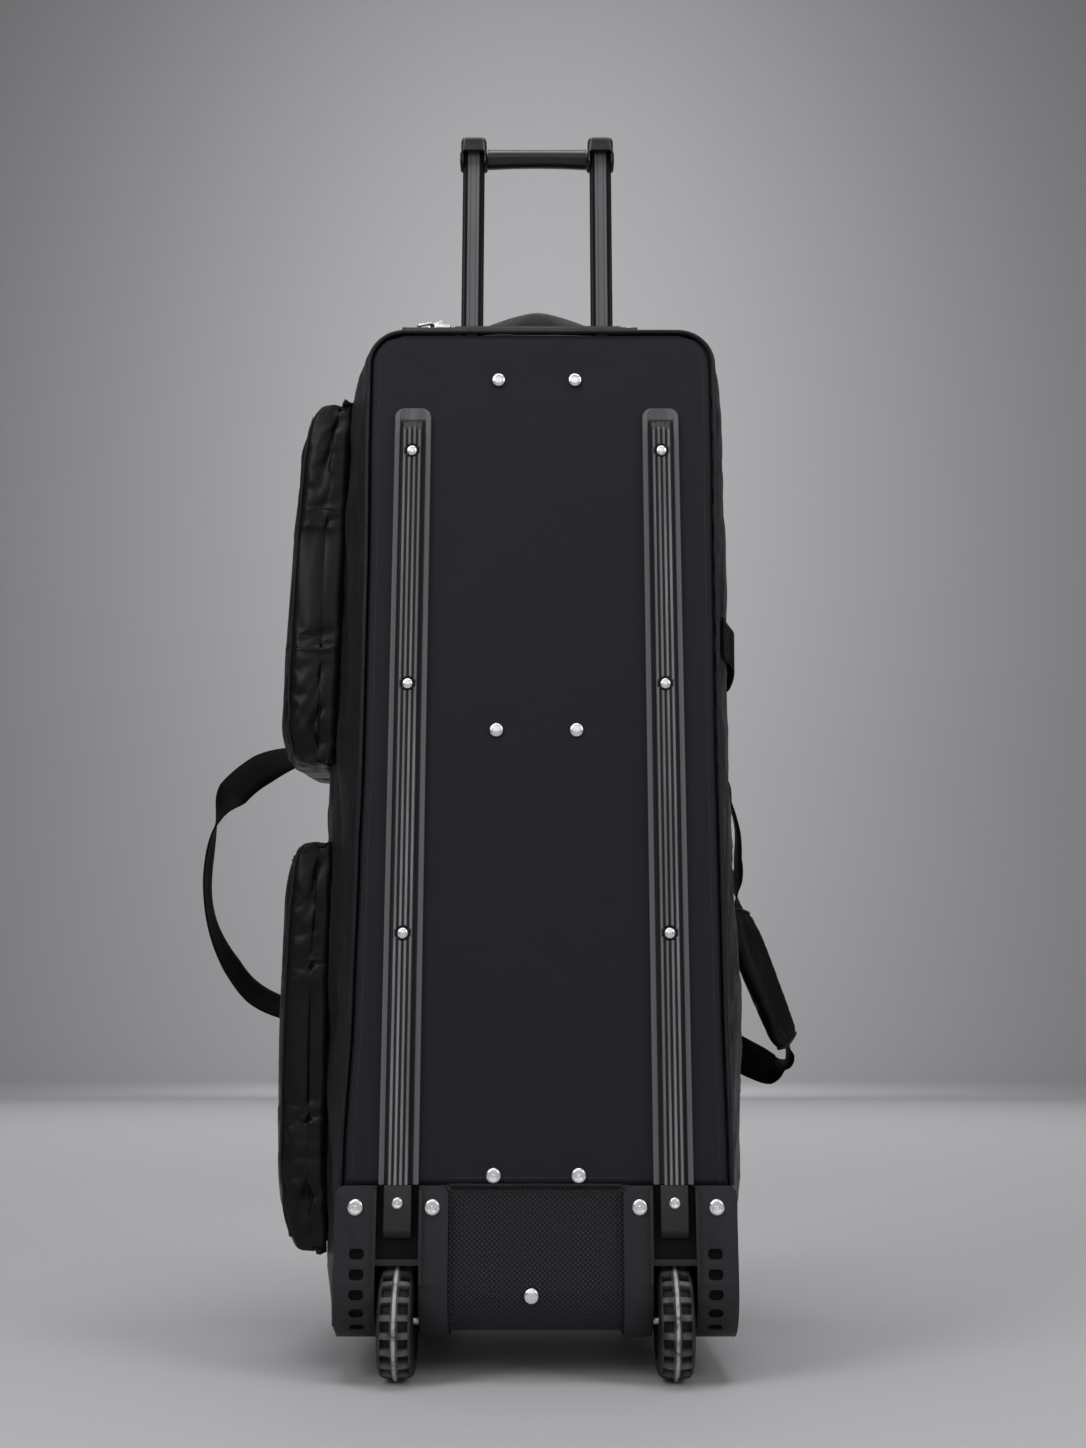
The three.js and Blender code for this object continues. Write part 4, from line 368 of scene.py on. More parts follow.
def webbing_finish(name, colour):
    """Flat webbing: ribs along it and a slant twill across."""
    f = Finish(name, colour, 0.62, Sheen_Weight=0.01, Sheen_Roughness=0.35, Specular_IOR_Level=0.07)
    u, v, _ = f.split(f.cloth_place())
    ribs = (v * (2 * math.pi / 0.0032)).sine() * 0.5 + 0.5
    slant = (
        (u + (v * (math.pi / 0.0032)).sine().absolute() * 0.0012) * (2 * math.pi / 0.0024)
    ).sine() * 0.5 + 0.5
    worn = f.noise(f.object_place(), 60.0, 3.0)
    height = ribs * 0.6 + slant * 0.4
    shade = f.node(
        "ShaderNodeVectorMath", {"operation": "SCALE"},
        {0: colour, "Scale": height * 0.7 + worn * 0.6 + 0.35}
    )
    f.set("Base Color", shade)
    f.set("Roughness", 0.5 + worn * 0.25)
    f.set("Normal", f.bump(height, 0.0004, 0.9))
    return f.material


def plastic_finish(name, colour, roughness, grain=900.0, depth=0.00006, scuff=0.35, coat=0.0):
    """Moulded plastic with a spark-eroded grain and pale scuffs."""
    f = Finish(name, colour, roughness, Coat_Weight=coat, Coat_Roughness=0.3)
    where = f.object_place()
    pits = f.noise(where, grain, 2.0)
    smears = f.noise(where, 34.0, 5.0, 0.65, (1.0, 1.0, 0.3))
    rub = smears.smooth(0.55, 0.8) * scuff
    f.set("Base Color", f.blend(rub, colour, tinted(colour, 2.6)))
    f.set("Roughness", roughness + (smears - 0.5) * 0.22 + rub * 0.2)
    f.set("Normal", f.bump(pits, depth, 0.6))
    return f.material


def metal_finish(name, colour, roughness, brush=(1.0, 1.0, 1.0), metallic=1.0):
    f = Finish(name, colour, roughness, Metallic=metallic)
    where = f.object_place()
    haze = f.noise(where, 120.0, 4.0, 0.6, brush)
    f.set("Roughness", roughness + (haze - 0.5) * 0.22)
    f.set("Base Color", f.blend(haze.smooth(0.35, 0.75) * 0.4, colour, tinted(colour, 0.72)))
    f.set("Normal", f.bump(f.noise(where, 700.0, 2.0, 0.5, brush), 0.00002, 0.4))
    return f.material


def rubber_finish():
    """Tyre rubber: bars worn grey, windows dark, and a pale scuffed rib round the middle."""
    base = (0.006, 0.006, 0.0068)
    f = Finish("tyre_rubber", base, 0.5, Specular_IOR_Level=0.25)
    _, v, _ = f.split(f.cloth_place())
    where = f.object_place()
    grit = f.noise(where, 240.0, 4.0, 0.7)
    blotch = f.noise(where, 70.0, 3.0)
    worn = (1 - v.absolute().smooth(0.009, 0.0155)) * (0.3 + blotch.smooth(0.35, 0.65) * 0.7)
    rib = (1 - v.absolute().smooth(0.0009, 0.0019)) * (grit * 0.5 + blotch * 0.7).smooth(0.42, 0.66)
    proud = f.node("ShaderNodeAttribute", {"attribute_name": "proud"}, {}, "Fac")
    bars = f.blend(worn * proud, base, (0.120, 0.122, 0.128))
    f.set("Base Color", f.blend(rib, bars, (0.46, 0.46, 0.47)))
    f.set("Roughness", 0.4 + grit * 0.3)
    f.set("Normal", f.bump(grit, 0.0002, 0.5))
    return f.material


def tube_finish():
    """Black anodised tube with a brushed grey strip down its groove."""
    base = (0.003, 0.003, 0.0036)
    f = Finish("anodised_tube", base, 0.36, Specular_IOR_Level=0.12)
    where = f.object_place()
    x, _, _ = f.split(where)
    off = ((x - CENTRE_X).absolute() - TUBE_X * MM).absolute()
    strip = 1 - off.smooth(0.0056, 0.0060)
    line = 1 - (off - 0.0028).absolute().smooth(0.0002, 0.0006)
    brushed = f.noise(where, 900.0, 3.0, 0.6, (1.0, 1.0, 0.02))
    grey = f.blend(line * 0.6 + brushed * 0.3, (0.165, 0.167, 0.175), (0.045, 0.046, 0.05))
    f.set("Base Color", f.blend(strip, base, grey))
    f.set("Metallic", strip * 0.55)
    f.set("Roughness", 0.28 + strip * 0.12 + brushed * 0.08)
    f.set("Normal", f.bump(brushed, 0.00003, 0.5))
    return f.material


def guard_finish():
    """Matte moulded guards, with painted shade that colours them near black wherever they are sunk below
    their face.
    """
    base = (0.0262, 0.0275, 0.0308)
    f = Finish("guard_plastic", base, 0.5, Specular_IOR_Level=0.2)
    where = f.object_place()
    _, y, z = f.split(where)
    # painted shade: wherever the surface lies below the guard's face it is coloured near black
    over = (y - (FACE_Y + BASE_BEND * MM)).maths("MINIMUM", 0)
    down = (z - (FLOOR_CLEARANCE + BASE_BEND) * MM).maths("MINIMUM", 0)
    reach = (over * over + down * down).maths("SQRT")
    sunk = 1 - reach.smooth(0.0484, 0.0492)
    smears = f.noise(where, 34.0, 5.0, 0.65, (1.0, 1.0, 0.3))
    face = f.blend(smears.smooth(0.55, 0.8) * 0.15, base, tinted(base, 2.4))
    f.set("Base Color", f.blend(sunk, face, (0.0016, 0.0016, 0.0019)))
    f.set("Roughness", 0.44 + smears * 0.14 + sunk * 0.3)
    f.set("Normal", f.bump(f.noise(where, 900.0, 2.0), 0.00006, 0.6))
    return f.material


def rail_finish():
    """Grey moulded rails: a pale flange, channels and grooves kept dark as painted shade, and rib tops
    painted light with worn streaks.
    """
    base = (0.0040, 0.0042, 0.0048)
    f = Finish("skid_rail_plastic", base, 0.4, Specular_IOR_Level=0.25)
    _, v, _ = f.split(f.cloth_place())
    where = f.object_place()
    streaks = f.noise(where, 60.0, 5.0, 0.65, (1.0, 1.0, 0.05))
    flange = v.absolute().smooth(0.0121, 0.0126)
    proud = f.node("ShaderNodeAttribute", {"attribute_name": "proud"}, {}, "Fac")
    # painted light and shade: proud rib tops are coloured pale while channels and grooves stay near black,
    # with worn streaks on the tops
    lit_tops_and_rubbing = proud * (0.45 + streaks.smooth(0.4, 0.75) * 0.5)
    bar = f.blend(lit_tops_and_rubbing, base, (0.330, 0.335, 0.350))
    shade = f.blend(flange * 0.8 + flange * streaks * 0.3, bar, (0.150, 0.153, 0.162))
    f.set("Base Color", shade)
    f.set("Roughness", 0.36 + streaks * 0.2)
    f.set("Normal", f.bump(f.noise(where, 1100.0, 2.0), 0.00004, 0.5))
    return f.material


FINISHES = {
    "panel": cloth_finish(
        "panel_polyester", (0.0118, 0.0114, 0.0172), 0.72, 0.0011, depth=0.0001, mottle=0.1, sheen=0.03
    ),
    "side": cloth_finish(
        "side_nylon", (0.0074, 0.0072, 0.0096), 0.42, 0.0010, depth=0.00008, mottle=0.2, crease=0.0012,
        sheen=0.03
    ),
    "pocket": cloth_finish(
        "pocket_nylon", (0.0026, 0.0026, 0.0040), 0.40, 0.0009, depth=0.00006, mottle=0.25, crease=0.0006,
        sheen=0.01, gloss=0.22
    ),
    "base": cloth_finish(
        "ballistic_nylon", (0.0165, 0.0170, 0.0225), 0.5, 0.0044, basket_weave, 0.0011, 0.1, sheen=0.03
    ),
    "trim": cloth_finish("binding_tape", (0.0085, 0.0085, 0.0095), 0.55, 0.0008, depth=0.0001, sheen=0.03),
    "wrap": cloth_finish(
        "wrap_nylon", (0.0026, 0.0026, 0.0032), 0.55, 0.0010, depth=0.0001, crease=0.0008, sheen=0.01,
        gloss=0.16
    ),
    "webbing": webbing_finish("carry_webbing", (0.0030, 0.0030, 0.0036)),
    "rail": rail_finish(),
    "block": plastic_finish("rail_block_plastic", (0.0125, 0.013, 0.0145), 0.45, scuff=0.15),
    "guard": guard_finish(),
    "handle": plastic_finish("handle_plastic", (0.0050, 0.0052, 0.0060), 0.34, scuff=0.12, coat=0.05),
    "tube": tube_finish(),
    "nickel": metal_finish("bright_nickel", (0.95, 0.95, 0.955), 0.3),
    "steel": metal_finish("plated_steel", (0.62, 0.62, 0.63), 0.3),
    "tyre": rubber_finish(),
    "hub": plastic_finish("hub_plastic", (0.03, 0.031, 0.033), 0.45),
    "thread": plastic_finish("sewing_thread", (0.03, 0.03, 0.033), 0.5, 1800.0),
    "coil": plastic_finish("zip_coil", (0.03, 0.03, 0.032), 0.35, 1500.0),
}


# Small mathematics
def lerp(a, b, share):
    return a + (b - a) * share


def smoothstep(share):
    share = min(max(share, 0), 1)
    return share * share * (3 - 2 * share)


def sample(table, at, column):
    if at <= table[0]["at"]:
        return table[0][column]
    for row, after in zip(table, table[1:]):
        if at < after["at"]:
            return lerp(
                row[column], after[column], smoothstep((at - row["at"]) / (after["at"] - row["at"]))
            )
    return table[-1][column]


def fold_rise(folds, at, back, breadth):
    rise = 0
    for fold in folds:
        up = at - fold["at"]
        over = (back - fold["back"]) * breadth
        angle = math.radians(fold["turn"])
        along = up * math.cos(angle) + over * math.sin(angle)
        across = over * math.cos(angle) - up * math.sin(angle)
        rise += fold["rise"] * math.exp(-((along / fold["long"]) ** 2) - (across / fold["wide"]) ** 2)
    return rise


def rough(x, y, z, size, seed=0.0):
    """Smooth noise between about -0.5 and 0.5 on millimetres."""
    return noise.noise(Vector((x / size + seed, y / size - seed, z / size + 2 * seed))) * 0.6


# The bag's surfaces
def side_name(side):
    return "left" if side < 0 else "right"


def side_share(side, z, measure):
    return sample(SIDE_SECTIONS, (z - FLOOR_CLEARANCE) / BAG_HEIGHT, side_name(side) + measure)


def seam_x(side, z):
    return PANEL_HALF_WIDTH * side_share(side, z, "_seam")


def side_swell(side, z):
    return SIDE_SWELL * side_share(side, z, "_swell")


def crown(y, fullness):
    across = min(abs(2 * y / BAG_DEPTH - 1), 1)
    return max(0, 1 - across**SWELL_ROUNDNESS) ** fullness


def side_x(side, z, y):
    return seam_x(side, z) + side_swell(side, z) * crown(y, SIDE_FULLNESS)


def folded_side_x(side, z, y):
    folds = [fold for fold in SIDE_FOLDS if fold["side"] == side]
    rise = fold_rise(folds, (z - FLOOR_CLEARANCE) / BAG_HEIGHT, y / BAG_DEPTH, BAG_DEPTH / BAG_HEIGHT)
    return side_x(side, z, y) + SIDE_SWELL * rise


def top_z(y):
    return TOP + TOP_SWELL * crown(y, TOP_FULLNESS)


def underside_z(y, inset):
    for bend, run in ((BASE_BEND, y), (FRONT_BEND, BAG_DEPTH - y)):
        if run < bend:
            reach = min(bend - run, bend - inset)
            return FLOOR_CLEARANCE + bend - math.sqrt((bend - inset) ** 2 - reach**2)
    return FLOOR_CLEARANCE + inset


# Making pieces
def new_piece(name, points, faces, finish, uvs):
    mesh = bpy.data.meshes.new(name)
    mesh.from_pydata([tuple(p) for p in points], [], faces)
    layer = mesh.uv_layers.new(name="UVMap")
    for loop in mesh.loops:
        layer.data[loop.index].uv = uvs[loop.vertex_index]
    mesh.polygons.foreach_set("use_smooth", [True] * len(mesh.polygons))
    mesh.materials.append(FINISHES[finish])
    piece = bpy.data.objects.new(name, mesh)
    bpy.context.scene.collection.objects.link(piece)
    return piece


def grid_piece(name, point, rows, columns, finish, ring=False, skip=None):
    """A sheet from point(i, j) with its map in metres along its rows and columns."""
    wide = columns if ring else columns + 1
    grid = [[place(*point(i, j)) for j in range(wide)] for i in range(rows + 1)]
    points = [p for row in grid for p in row]
    rows_run = [0.0]
    for i in range(rows):
        rows_run.append(rows_run[-1] + (grid[i + 1][wide // 2] - grid[i][wide // 2]).length)
    middle = rows // 2
    columns_run = [0.0]
    for j in range(wide - 1):
        columns_run.append(columns_run[-1] + (grid[middle][j + 1] - grid[middle][j]).length)
    uvs = [(rows_run[i], columns_run[j]) for i in range(rows + 1) for j in range(wide)]
    faces = []
    for i in range(rows):
        for j in range(columns):
            if skip and skip(i, j):
                continue
            k = (j + 1) % wide
            faces.append((i * wide + j, (i + 1) * wide + j, (i + 1) * wide + k, i * wide + k))
    return new_piece(name, points, faces, finish, uvs)


def thicken(piece, millimetres):
    """Gives a sheet its wall, inwards from its outer face."""
    wall = piece.modifiers.new("wall", "SOLIDIFY")
    wall.thickness = millimetres * MM
    wall.offset = -1
    wall.use_even_offset = False
    settle(piece)
    return piece


def settle(piece):
    """Turns what a piece's modifiers make into its plain mesh."""
    graph = bpy.context.evaluated_depsgraph_get()
    made = bpy.data.meshes.new_from_object(piece.evaluated_get(graph), depsgraph=graph)
    piece.modifiers.clear()
    old = piece.data
    piece.data = made
    made.name = piece.name
    bpy.data.meshes.remove(old)


def finished(piece, body, slot, *nodes):
    """Rides a piece on its body, in place of the CAD nodes that it stands for."""
    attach(piece, body)
    if nodes:
        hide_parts(*nodes)
    return piece


def refined(name, node, finish, body, slot, bevel=0.6, angle=32, segments=2, cutters=()):
    """The CAD node's own shape with flat faces joined and its edges rounded."""
    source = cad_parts[node]
    mesh = source.data.copy()
    mesh.name = name
    work = bmesh.new()
    work.from_mesh(mesh)
    bmesh.ops.remove_doubles(work, verts=work.verts, dist=1e-6)
    bmesh.ops.dissolve_limit(
        work, angle_limit=math.radians(1.5), verts=work.verts, edges=work.edges, delimit={"NORMAL"}
    )
    work.to_mesh(mesh)
    work.free()
    mesh.materials.clear()
    mesh.materials.append(FINISHES[finish])
    piece = bpy.data.objects.new(name, mesh)
    bpy.context.scene.collection.objects.link(piece)
    for cutter in cutters:
        cut = piece.modifiers.new("cut", "BOOLEAN")
        cut.operation = "DIFFERENCE"
        cut.solver = "EXACT"
        cut.object = cutter
    if bevel:
        edge = piece.modifiers.new("edge", "BEVEL")
        edge.width = bevel * MM
        edge.segments = segments
        edge.limit_method = "ANGLE"
        edge.angle_limit = math.radians(angle)
        edge.use_clamp_overlap = True
        edge.harden_normals = False
    settle(piece)
    for cutter in cutters:
        bpy.data.objects.remove(cutter)
    piece.data.set_sharp_from_angle(angle=math.radians(angle + 8))
    piece.data.polygons.foreach_set("use_smooth", [True] * len(piece.data.polygons))
    return finished(piece, body, slot, node)


def tube_piece(name, path, radius, finish, sides=10, closed=False):
    """A round tube along a path of millimetre points, with its ends closed."""
    curve = bpy.data.curves.new(name, "CURVE")
    curve.dimensions = "3D"
    curve.bevel_depth = radius * MM
    curve.bevel_resolution = max(sides // 4, 1)
    curve.use_fill_caps = True
    line = curve.splines.new("POLY")
    line.points.add(len(path) - 1)
    for spot, p in zip(line.points, path):
        spot.co = (*place(*p), 1)
    line.use_cyclic_u = closed
    shape = bpy.data.objects.new(name + "_line", curve)
    bpy.context.scene.collection.objects.link(shape)
    graph = bpy.context.evaluated_depsgraph_get()
    mesh = bpy.data.meshes.new_from_object(shape.evaluated_get(graph), depsgraph=graph)
    bpy.data.objects.remove(shape)
    mesh.name = name
    mesh.materials.clear()
    mesh.materials.append(FINISHES[finish])
    mesh.polygons.foreach_set("use_smooth", [True] * len(mesh.polygons))
    if not mesh.uv_layers:
        layer = mesh.uv_layers.new(name="UVMap")
        for loop in mesh.loops:
            co = mesh.vertices[loop.vertex_index].co
            layer.data[loop.index].uv = (co.x + co.z, co.y)
    mesh.uv_layers[0].name = "UVMap"
    piece = bpy.data.objects.new(name, mesh)
    bpy.context.scene.collection.objects.link(piece)
    return piece


# Repeats by Geometry Nodes
def repeat_tree(name, inputs):
    """An empty modifier tree that takes geometry and the given inputs."""
    tree = bpy.data.node_groups.new(name, "GeometryNodeTree")
    tree.is_modifier = True
    tree.interface.new_socket("Geometry", in_out="INPUT", socket_type="NodeSocketGeometry")
    tree.interface.new_socket("Geometry", in_out="OUTPUT", socket_type="NodeSocketGeometry")
    for label, (kind, value) in inputs.items():
        socket = tree.interface.new_socket(label, in_out="INPUT", socket_type=kind)
        if value is not None:
            socket.default_value = value
    return tree


def repeated(name, spots, template, finish, scale=(1, 1, 1), wobble=0.0, seed=1):
    """Copies of a template mesh on spots, each a place in millimetres with the axis along it and its face."""
    mesh = bpy.data.meshes.new(name + "_spots")
    mesh.from_pydata([tuple(place(*spot)) for spot, _, _ in spots], [], [])
    for label, column in (("run", 1), ("face", 2)):
        attribute = mesh.attributes.new(label, "FLOAT_VECTOR", "POINT")
        for item, spot in zip(attribute.data, spots):
            item.vector = spot[column]
    carrier = bpy.data.objects.new(name, mesh)
    bpy.context.scene.collection.objects.link(carrier)
    shape = bpy.data.objects.new(name + "_template", template)
    bpy.context.scene.collection.objects.link(shape)
    tree = repeat_tree(
        name + "_repeat",
        {
            "Template": ("NodeSocketObject", None),
            "Length": ("NodeSocketFloat", scale[0]),
            "Width": ("NodeSocketFloat", scale[1]),
            "Height": ("NodeSocketFloat", scale[2]),
            "Wobble": ("NodeSocketFloat", wobble),
            "Seed": ("NodeSocketInt", seed),
            "Finish": ("NodeSocketMaterial", None),
        },
    )
    nodes, links = tree.nodes, tree.links
    given = nodes.new("NodeGroupInput")
    result = nodes.new("NodeGroupOutput")
    info = nodes.new("GeometryNodeObjectInfo")
    put = nodes.new("GeometryNodeInstanceOnPoints")
    run = nodes.new("GeometryNodeInputNamedAttribute")
    run.data_type = "FLOAT_VECTOR"
    run.inputs["Name"].default_value = "run"
    face = nodes.new("GeometryNodeInputNamedAttribute")
    face.data_type = "FLOAT_VECTOR"
    face.inputs["Name"].default_value = "face"
    turn = nodes.new("FunctionNodeAxesToRotation")
    turn.primary_axis = "X"
    turn.secondary_axis = "Z"
    size = nodes.new("ShaderNodeCombineXYZ")
    random = nodes.new("FunctionNodeRandomValue")
    random.data_type = "FLOAT"
    grow = nodes.new("ShaderNodeVectorMath")
    grow.operation = "SCALE"
    add = nodes.new("ShaderNodeMath")
    less = nodes.new("ShaderNodeMath")
    less.operation = "MULTIPLY"
    less.inputs[1].default_value = -1
    realize = nodes.new("GeometryNodeRealizeInstances")
    coat = nodes.new("GeometryNodeSetMaterial")
    links.new(given.outputs["Template"], info.inputs["Object"])
    links.new(given.outputs["Geometry"], put.inputs["Points"])
    links.new(info.outputs["Geometry"], put.inputs["Instance"])
    links.new(run.outputs["Attribute"], turn.inputs["Primary Axis"])
    links.new(face.outputs["Attribute"], turn.inputs["Secondary Axis"])
    links.new(turn.outputs["Rotation"], put.inputs["Rotation"])
    for i, label in enumerate(("Length", "Width", "Height")):
        links.new(given.outputs[label], size.inputs[i])
    links.new(given.outputs["Wobble"], less.inputs[0])
    links.new(less.outputs[0], random.inputs[2])
    links.new(given.outputs["Wobble"], random.inputs[3])
    links.new(given.outputs["Seed"], random.inputs["Seed"])
    links.new(random.outputs[1], add.inputs[0])
    add.inputs[1].default_value = 1
    links.new(size.outputs[0], grow.inputs[0])
    links.new(add.outputs[0], grow.inputs["Scale"])
    links.new(grow.outputs[0], put.inputs["Scale"])
    links.new(put.outputs["Instances"], realize.inputs["Geometry"])
    links.new(realize.outputs["Geometry"], coat.inputs["Geometry"])
    links.new(given.outputs["Finish"], coat.inputs["Material"])
    links.new(coat.outputs["Geometry"], result.inputs["Geometry"])
    work = carrier.modifiers.new("repeat", "NODES")
    work.node_group = tree
    for item in tree.interface.items_tree:
        if item.in_out == "INPUT" and item.name == "Template":
            work[item.identifier] = shape
        if item.in_out == "INPUT" and item.name == "Finish":
            work[item.identifier] = FINISHES[finish]
    settle(carrier)
    bpy.data.objects.remove(shape)
    bpy.data.node_groups.remove(tree)
    carrier.data.polygons.foreach_set("use_smooth", [True] * len(carrier.data.polygons))
    carrier.data.set_sharp_from_angle(angle=math.radians(50))
    return carrier


def block_template(name, length, width, height, bevel):
    """A small rounded block, millimetres, lying along X with its face up Z."""
    mesh = bpy.data.meshes.new(name)
    work = bmesh.new()
    bmesh.ops.create_cube(work, size=1)
    bmesh.ops.scale(work, vec=(length * MM, width * MM, height * MM), verts=work.verts)
    bmesh.ops.bevel(work, geom=list(work.edges), offset=bevel * MM, segments=1, affect="EDGES")
    work.to_mesh(mesh)
    work.free()
    return mesh


def lathe_template(name, profile, steps):
    """A turned head: (radius, height) rows, millimetres, standing up Z."""
    mesh = bpy.data.meshes.new(name)
    points, faces = [], []
    for radius, height in profile:
        for k in range(steps):
            angle = 2 * math.pi * k / steps
            points.append((radius * MM * math.cos(angle), radius * MM * math.sin(angle), height * MM))
    for i in range(len(profile) - 1):
        for k in range(steps):
            n = (k + 1) % steps
            faces.append((i * steps + k, i * steps + n, (i + 1) * steps + n, (i + 1) * steps + k))
    faces.append(tuple(reversed(range(steps))))
    faces.append(tuple((len(profile) - 1) * steps + k for k in range(steps)))
    mesh.from_pydata(points, [], faces)
    work = bmesh.new()
    work.from_mesh(mesh)
    bmesh.ops.remove_doubles(work, verts=work.verts, dist=1e-7)
    bmesh.ops.recalc_face_normals(work, faces=work.faces)
    work.to_mesh(mesh)
    work.free()
    return mesh


def zip_teeth(name, spots, length, width, height, bevel):
    """The coil teeth of one zip."""
    teeth = repeated(name, spots, block_template("tooth", length, width, height, bevel), "coil")
    return finished(teeth, "bag", "trim")


def along(path, pitch, start=0.0):
    """Evenly spaced spots on a path of (place, face) rows: place, run and face of each."""
    spots = []
    wanted = start
    gone = 0.0
    for (a, face_a), (b, face_b) in zip(path, path[1:]):
        a, b = Vector(a), Vector(b)
        span = (b - a).length
        while span and wanted <= gone + span:
            share = (wanted - gone) / span
            face = Vector(face_a).lerp(Vector(face_b), share)
            spots.append((a.lerp(b, share), (b - a).normalized(), face.normalized()))
            wanted += pitch
        gone += span
    return spots


def stitches(name, paths, length=2.6, pitch=3.6, lift=0.15):
    """Running stitches that follow paths of (place, face) rows."""
    spots = []
    for path in paths:
        for spot, run, face in along(path, pitch, pitch / 2):
            spots.append((spot + face * lift, run, face))
    piece = repeated(
        name, spots, block_template(name, length, 0.7, 0.5, 0.2), "thread", wobble=0.12, seed=7
    )
    return finished(piece, "bag", "trim")


# Soft pieces
def band_stations(step):
    """Rows of the side band: up the left, over the top and down the right."""
    sides = int((CORNER_FOOT - FLOOR_CLEARANCE) / step)
    corner = max(int(math.pi / 2 * CORNER_RADIUS / step), 8)
    top = int(2 * (PANEL_HALF_WIDTH - CORNER_RADIUS) / step)
    rows = [("side", -1, i / sides) for i in range(sides)]
    rows += [("corner", -1, i / corner) for i in range(corner)]
    rows += [("top", 1, i / top) for i in range(top + 1)]
    rows += [("corner", 1, i / corner) for i in range(corner - 1, -1, -1)]
    rows += [("side", 1, i / sides) for i in range(sides - 1, -1, -1)]
    return rows


def band_point(station, y, lift=0.0):
    part, side, share = station
    if part == "side":
        z = lerp(underside_z(y, CLOTH + GAP), CORNER_FOOT, share)
        return Vector((side * (folded_side_x(side, z, y) + lift), y, z))
    if part == "corner":
        angle = share * math.pi / 2
        swell = lerp(side_swell(side, CORNER_FOOT), TOP_SWELL, share)
        fullness = lerp(SIDE_FULLNESS, TOP_FULLNESS, share)
        radius = CORNER_RADIUS + swell * crown(y, fullness) + lift
        x = seam_x(side, CORNER_FOOT) - CORNER_RADIUS + radius * math.cos(angle)
        return Vector((side * x, y, CORNER_FOOT + radius * math.sin(angle)))
    left = seam_x(-1, CORNER_FOOT) - CORNER_RADIUS
    right = seam_x(1, CORNER_FOOT) - CORNER_RADIUS
    return Vector((lerp(-left, right, share), y, top_z(y) + lift))


def band_wrinkle(p, run):
    """Puckers along the two seams and soft drag lines between them."""
    near = math.exp(-(p.y - SEAM_STEP) / 16) + math.exp(-(WALL_FAR - p.y) / 16)
    pucker = math.sin(run / 5.5 + 3 * rough(p.x, p.y, p.z, 60)) * near * 0.5
    drag = rough(p.x * 0.6, p.y * 1.5 + p.z * 0.35, p.z * 0.8, 46, 3.1)
    crease = 1 - abs(rough(p.x, p.y * 1.2 - p.z * 0.5, p.z, 70, 8.4)) * 9
    calm = smoothstep((p.y - SEAM_STEP) / 14) * smoothstep((WALL_FAR - p.y) / 14)
    slant = max(0.0, 1 - abs(rough(p.y * 2.4 - p.z * 0.55, p.x * 0.3, p.z * 0.5, 62, 12.7)) * 11)
    return pucker + (drag * 3.0 + max(crease, 0) * 1.3 - slant * 1.9 - 0.4) * calm


BAND_STEP = 7


def side_band():
    stations = band_stations(BAND_STEP)
    columns = 46
    depths = []
    for j in range(columns + 1):
        share = 0.5 - 0.5 * math.cos(math.pi * j / columns) * 0.6 - 0.2 * (1 - 2 * j / columns)
        depths.append(lerp(SEAM_STEP, WALL_FAR, share))

    def point(i, j):
        p = band_point(stations[i], depths[j])
        return band_point(stations[i], depths[j], band_wrinkle(p, i * BAND_STEP))

    def skip(i, j):
        part, _, _ = stations[i]
        if part != "top":
            return False
        x = band_point(stations[i], depths[j]).x
        return abs(x) < SLOT_HALF_LENGTH - 2 and SLOT_NEAR - 1 < depths[j] and depths[j + 1] < SLOT_FAR + 3

    piece = grid_piece("side_band_cloth", point, len(stations) - 1, columns, "side", skip=skip)
    return finished(thicken(piece, CLOTH), "bag", "side_cloth", "body_wall")


def panel_half(side, z):
    """The skid-rail face's half width at a height, round its top corners."""
    if z < CORNER_FOOT:
        return seam_x(side, z) - 1
    rise = min(z - CORNER_FOOT, CORNER_RADIUS - 1)
    return seam_x(side, CORNER_FOOT) - CORNER_RADIUS + math.sqrt(max((CORNER_RADIUS - 1) ** 2 - rise**2, 0))


PANEL_STUDS = [
    (side * PANEL_STUD_X, z) for side in (-1, 1) for z in (*PANEL_RIVET_HEIGHTS, PANEL_SCREW_HEIGHT)
]


def panel_depth(x, z, edge):
    """Depth of the skid-rail face: rolled in at its seam, sunk round its studs, gently uneven."""
    roll = 2.4 * math.exp(-edge / 3.0) + 0.7 * math.exp(-((edge - 8) / 1.6) ** 2)
    sunk = sum(0.9 * math.exp(-((x - sx) ** 2 + (z - sz) ** 2) / 170) for sx, sz in PANEL_STUDS)
    under_rail = math.exp(-((abs(x) - RAIL_X) / 22) ** 4)
    wave = 0.9 * rough(x, 0, z * 0.6, 120, 1.3) + 0.35 * rough(x, 0, z, 38, 5.2)
    return roll + sunk + (0.25 + wave) * (1 - under_rail) - 0.1


def back_cloth():
    rows, columns = 150, 66

    def point(i, j):
        z = lerp(BASE_SEAM + GAP, TOP - 1, i / rows)
        share = 0.5 - 0.5 * math.cos(math.pi * j / columns) * 0.45 - 0.275 * (1 - 2 * j / columns)
        x = lerp(-panel_half(-1, z), panel_half(1, z), share)
        side = -1 if x < 0 else 1
        edge = min(panel_half(side, z) - abs(x), TOP - 1 - z)
        return x, panel_depth(x, z, max(edge, 0)), z

    piece = grid_piece("skid_rail_face_cloth", point, rows, columns, "panel")
    flipped(piece)
    return finished(thicken(piece, CLOTH - 0.4), "bag", "panel_cloth", "back_panel")


def flipped(piece):
    piece.data.flip_normals()
    return piece


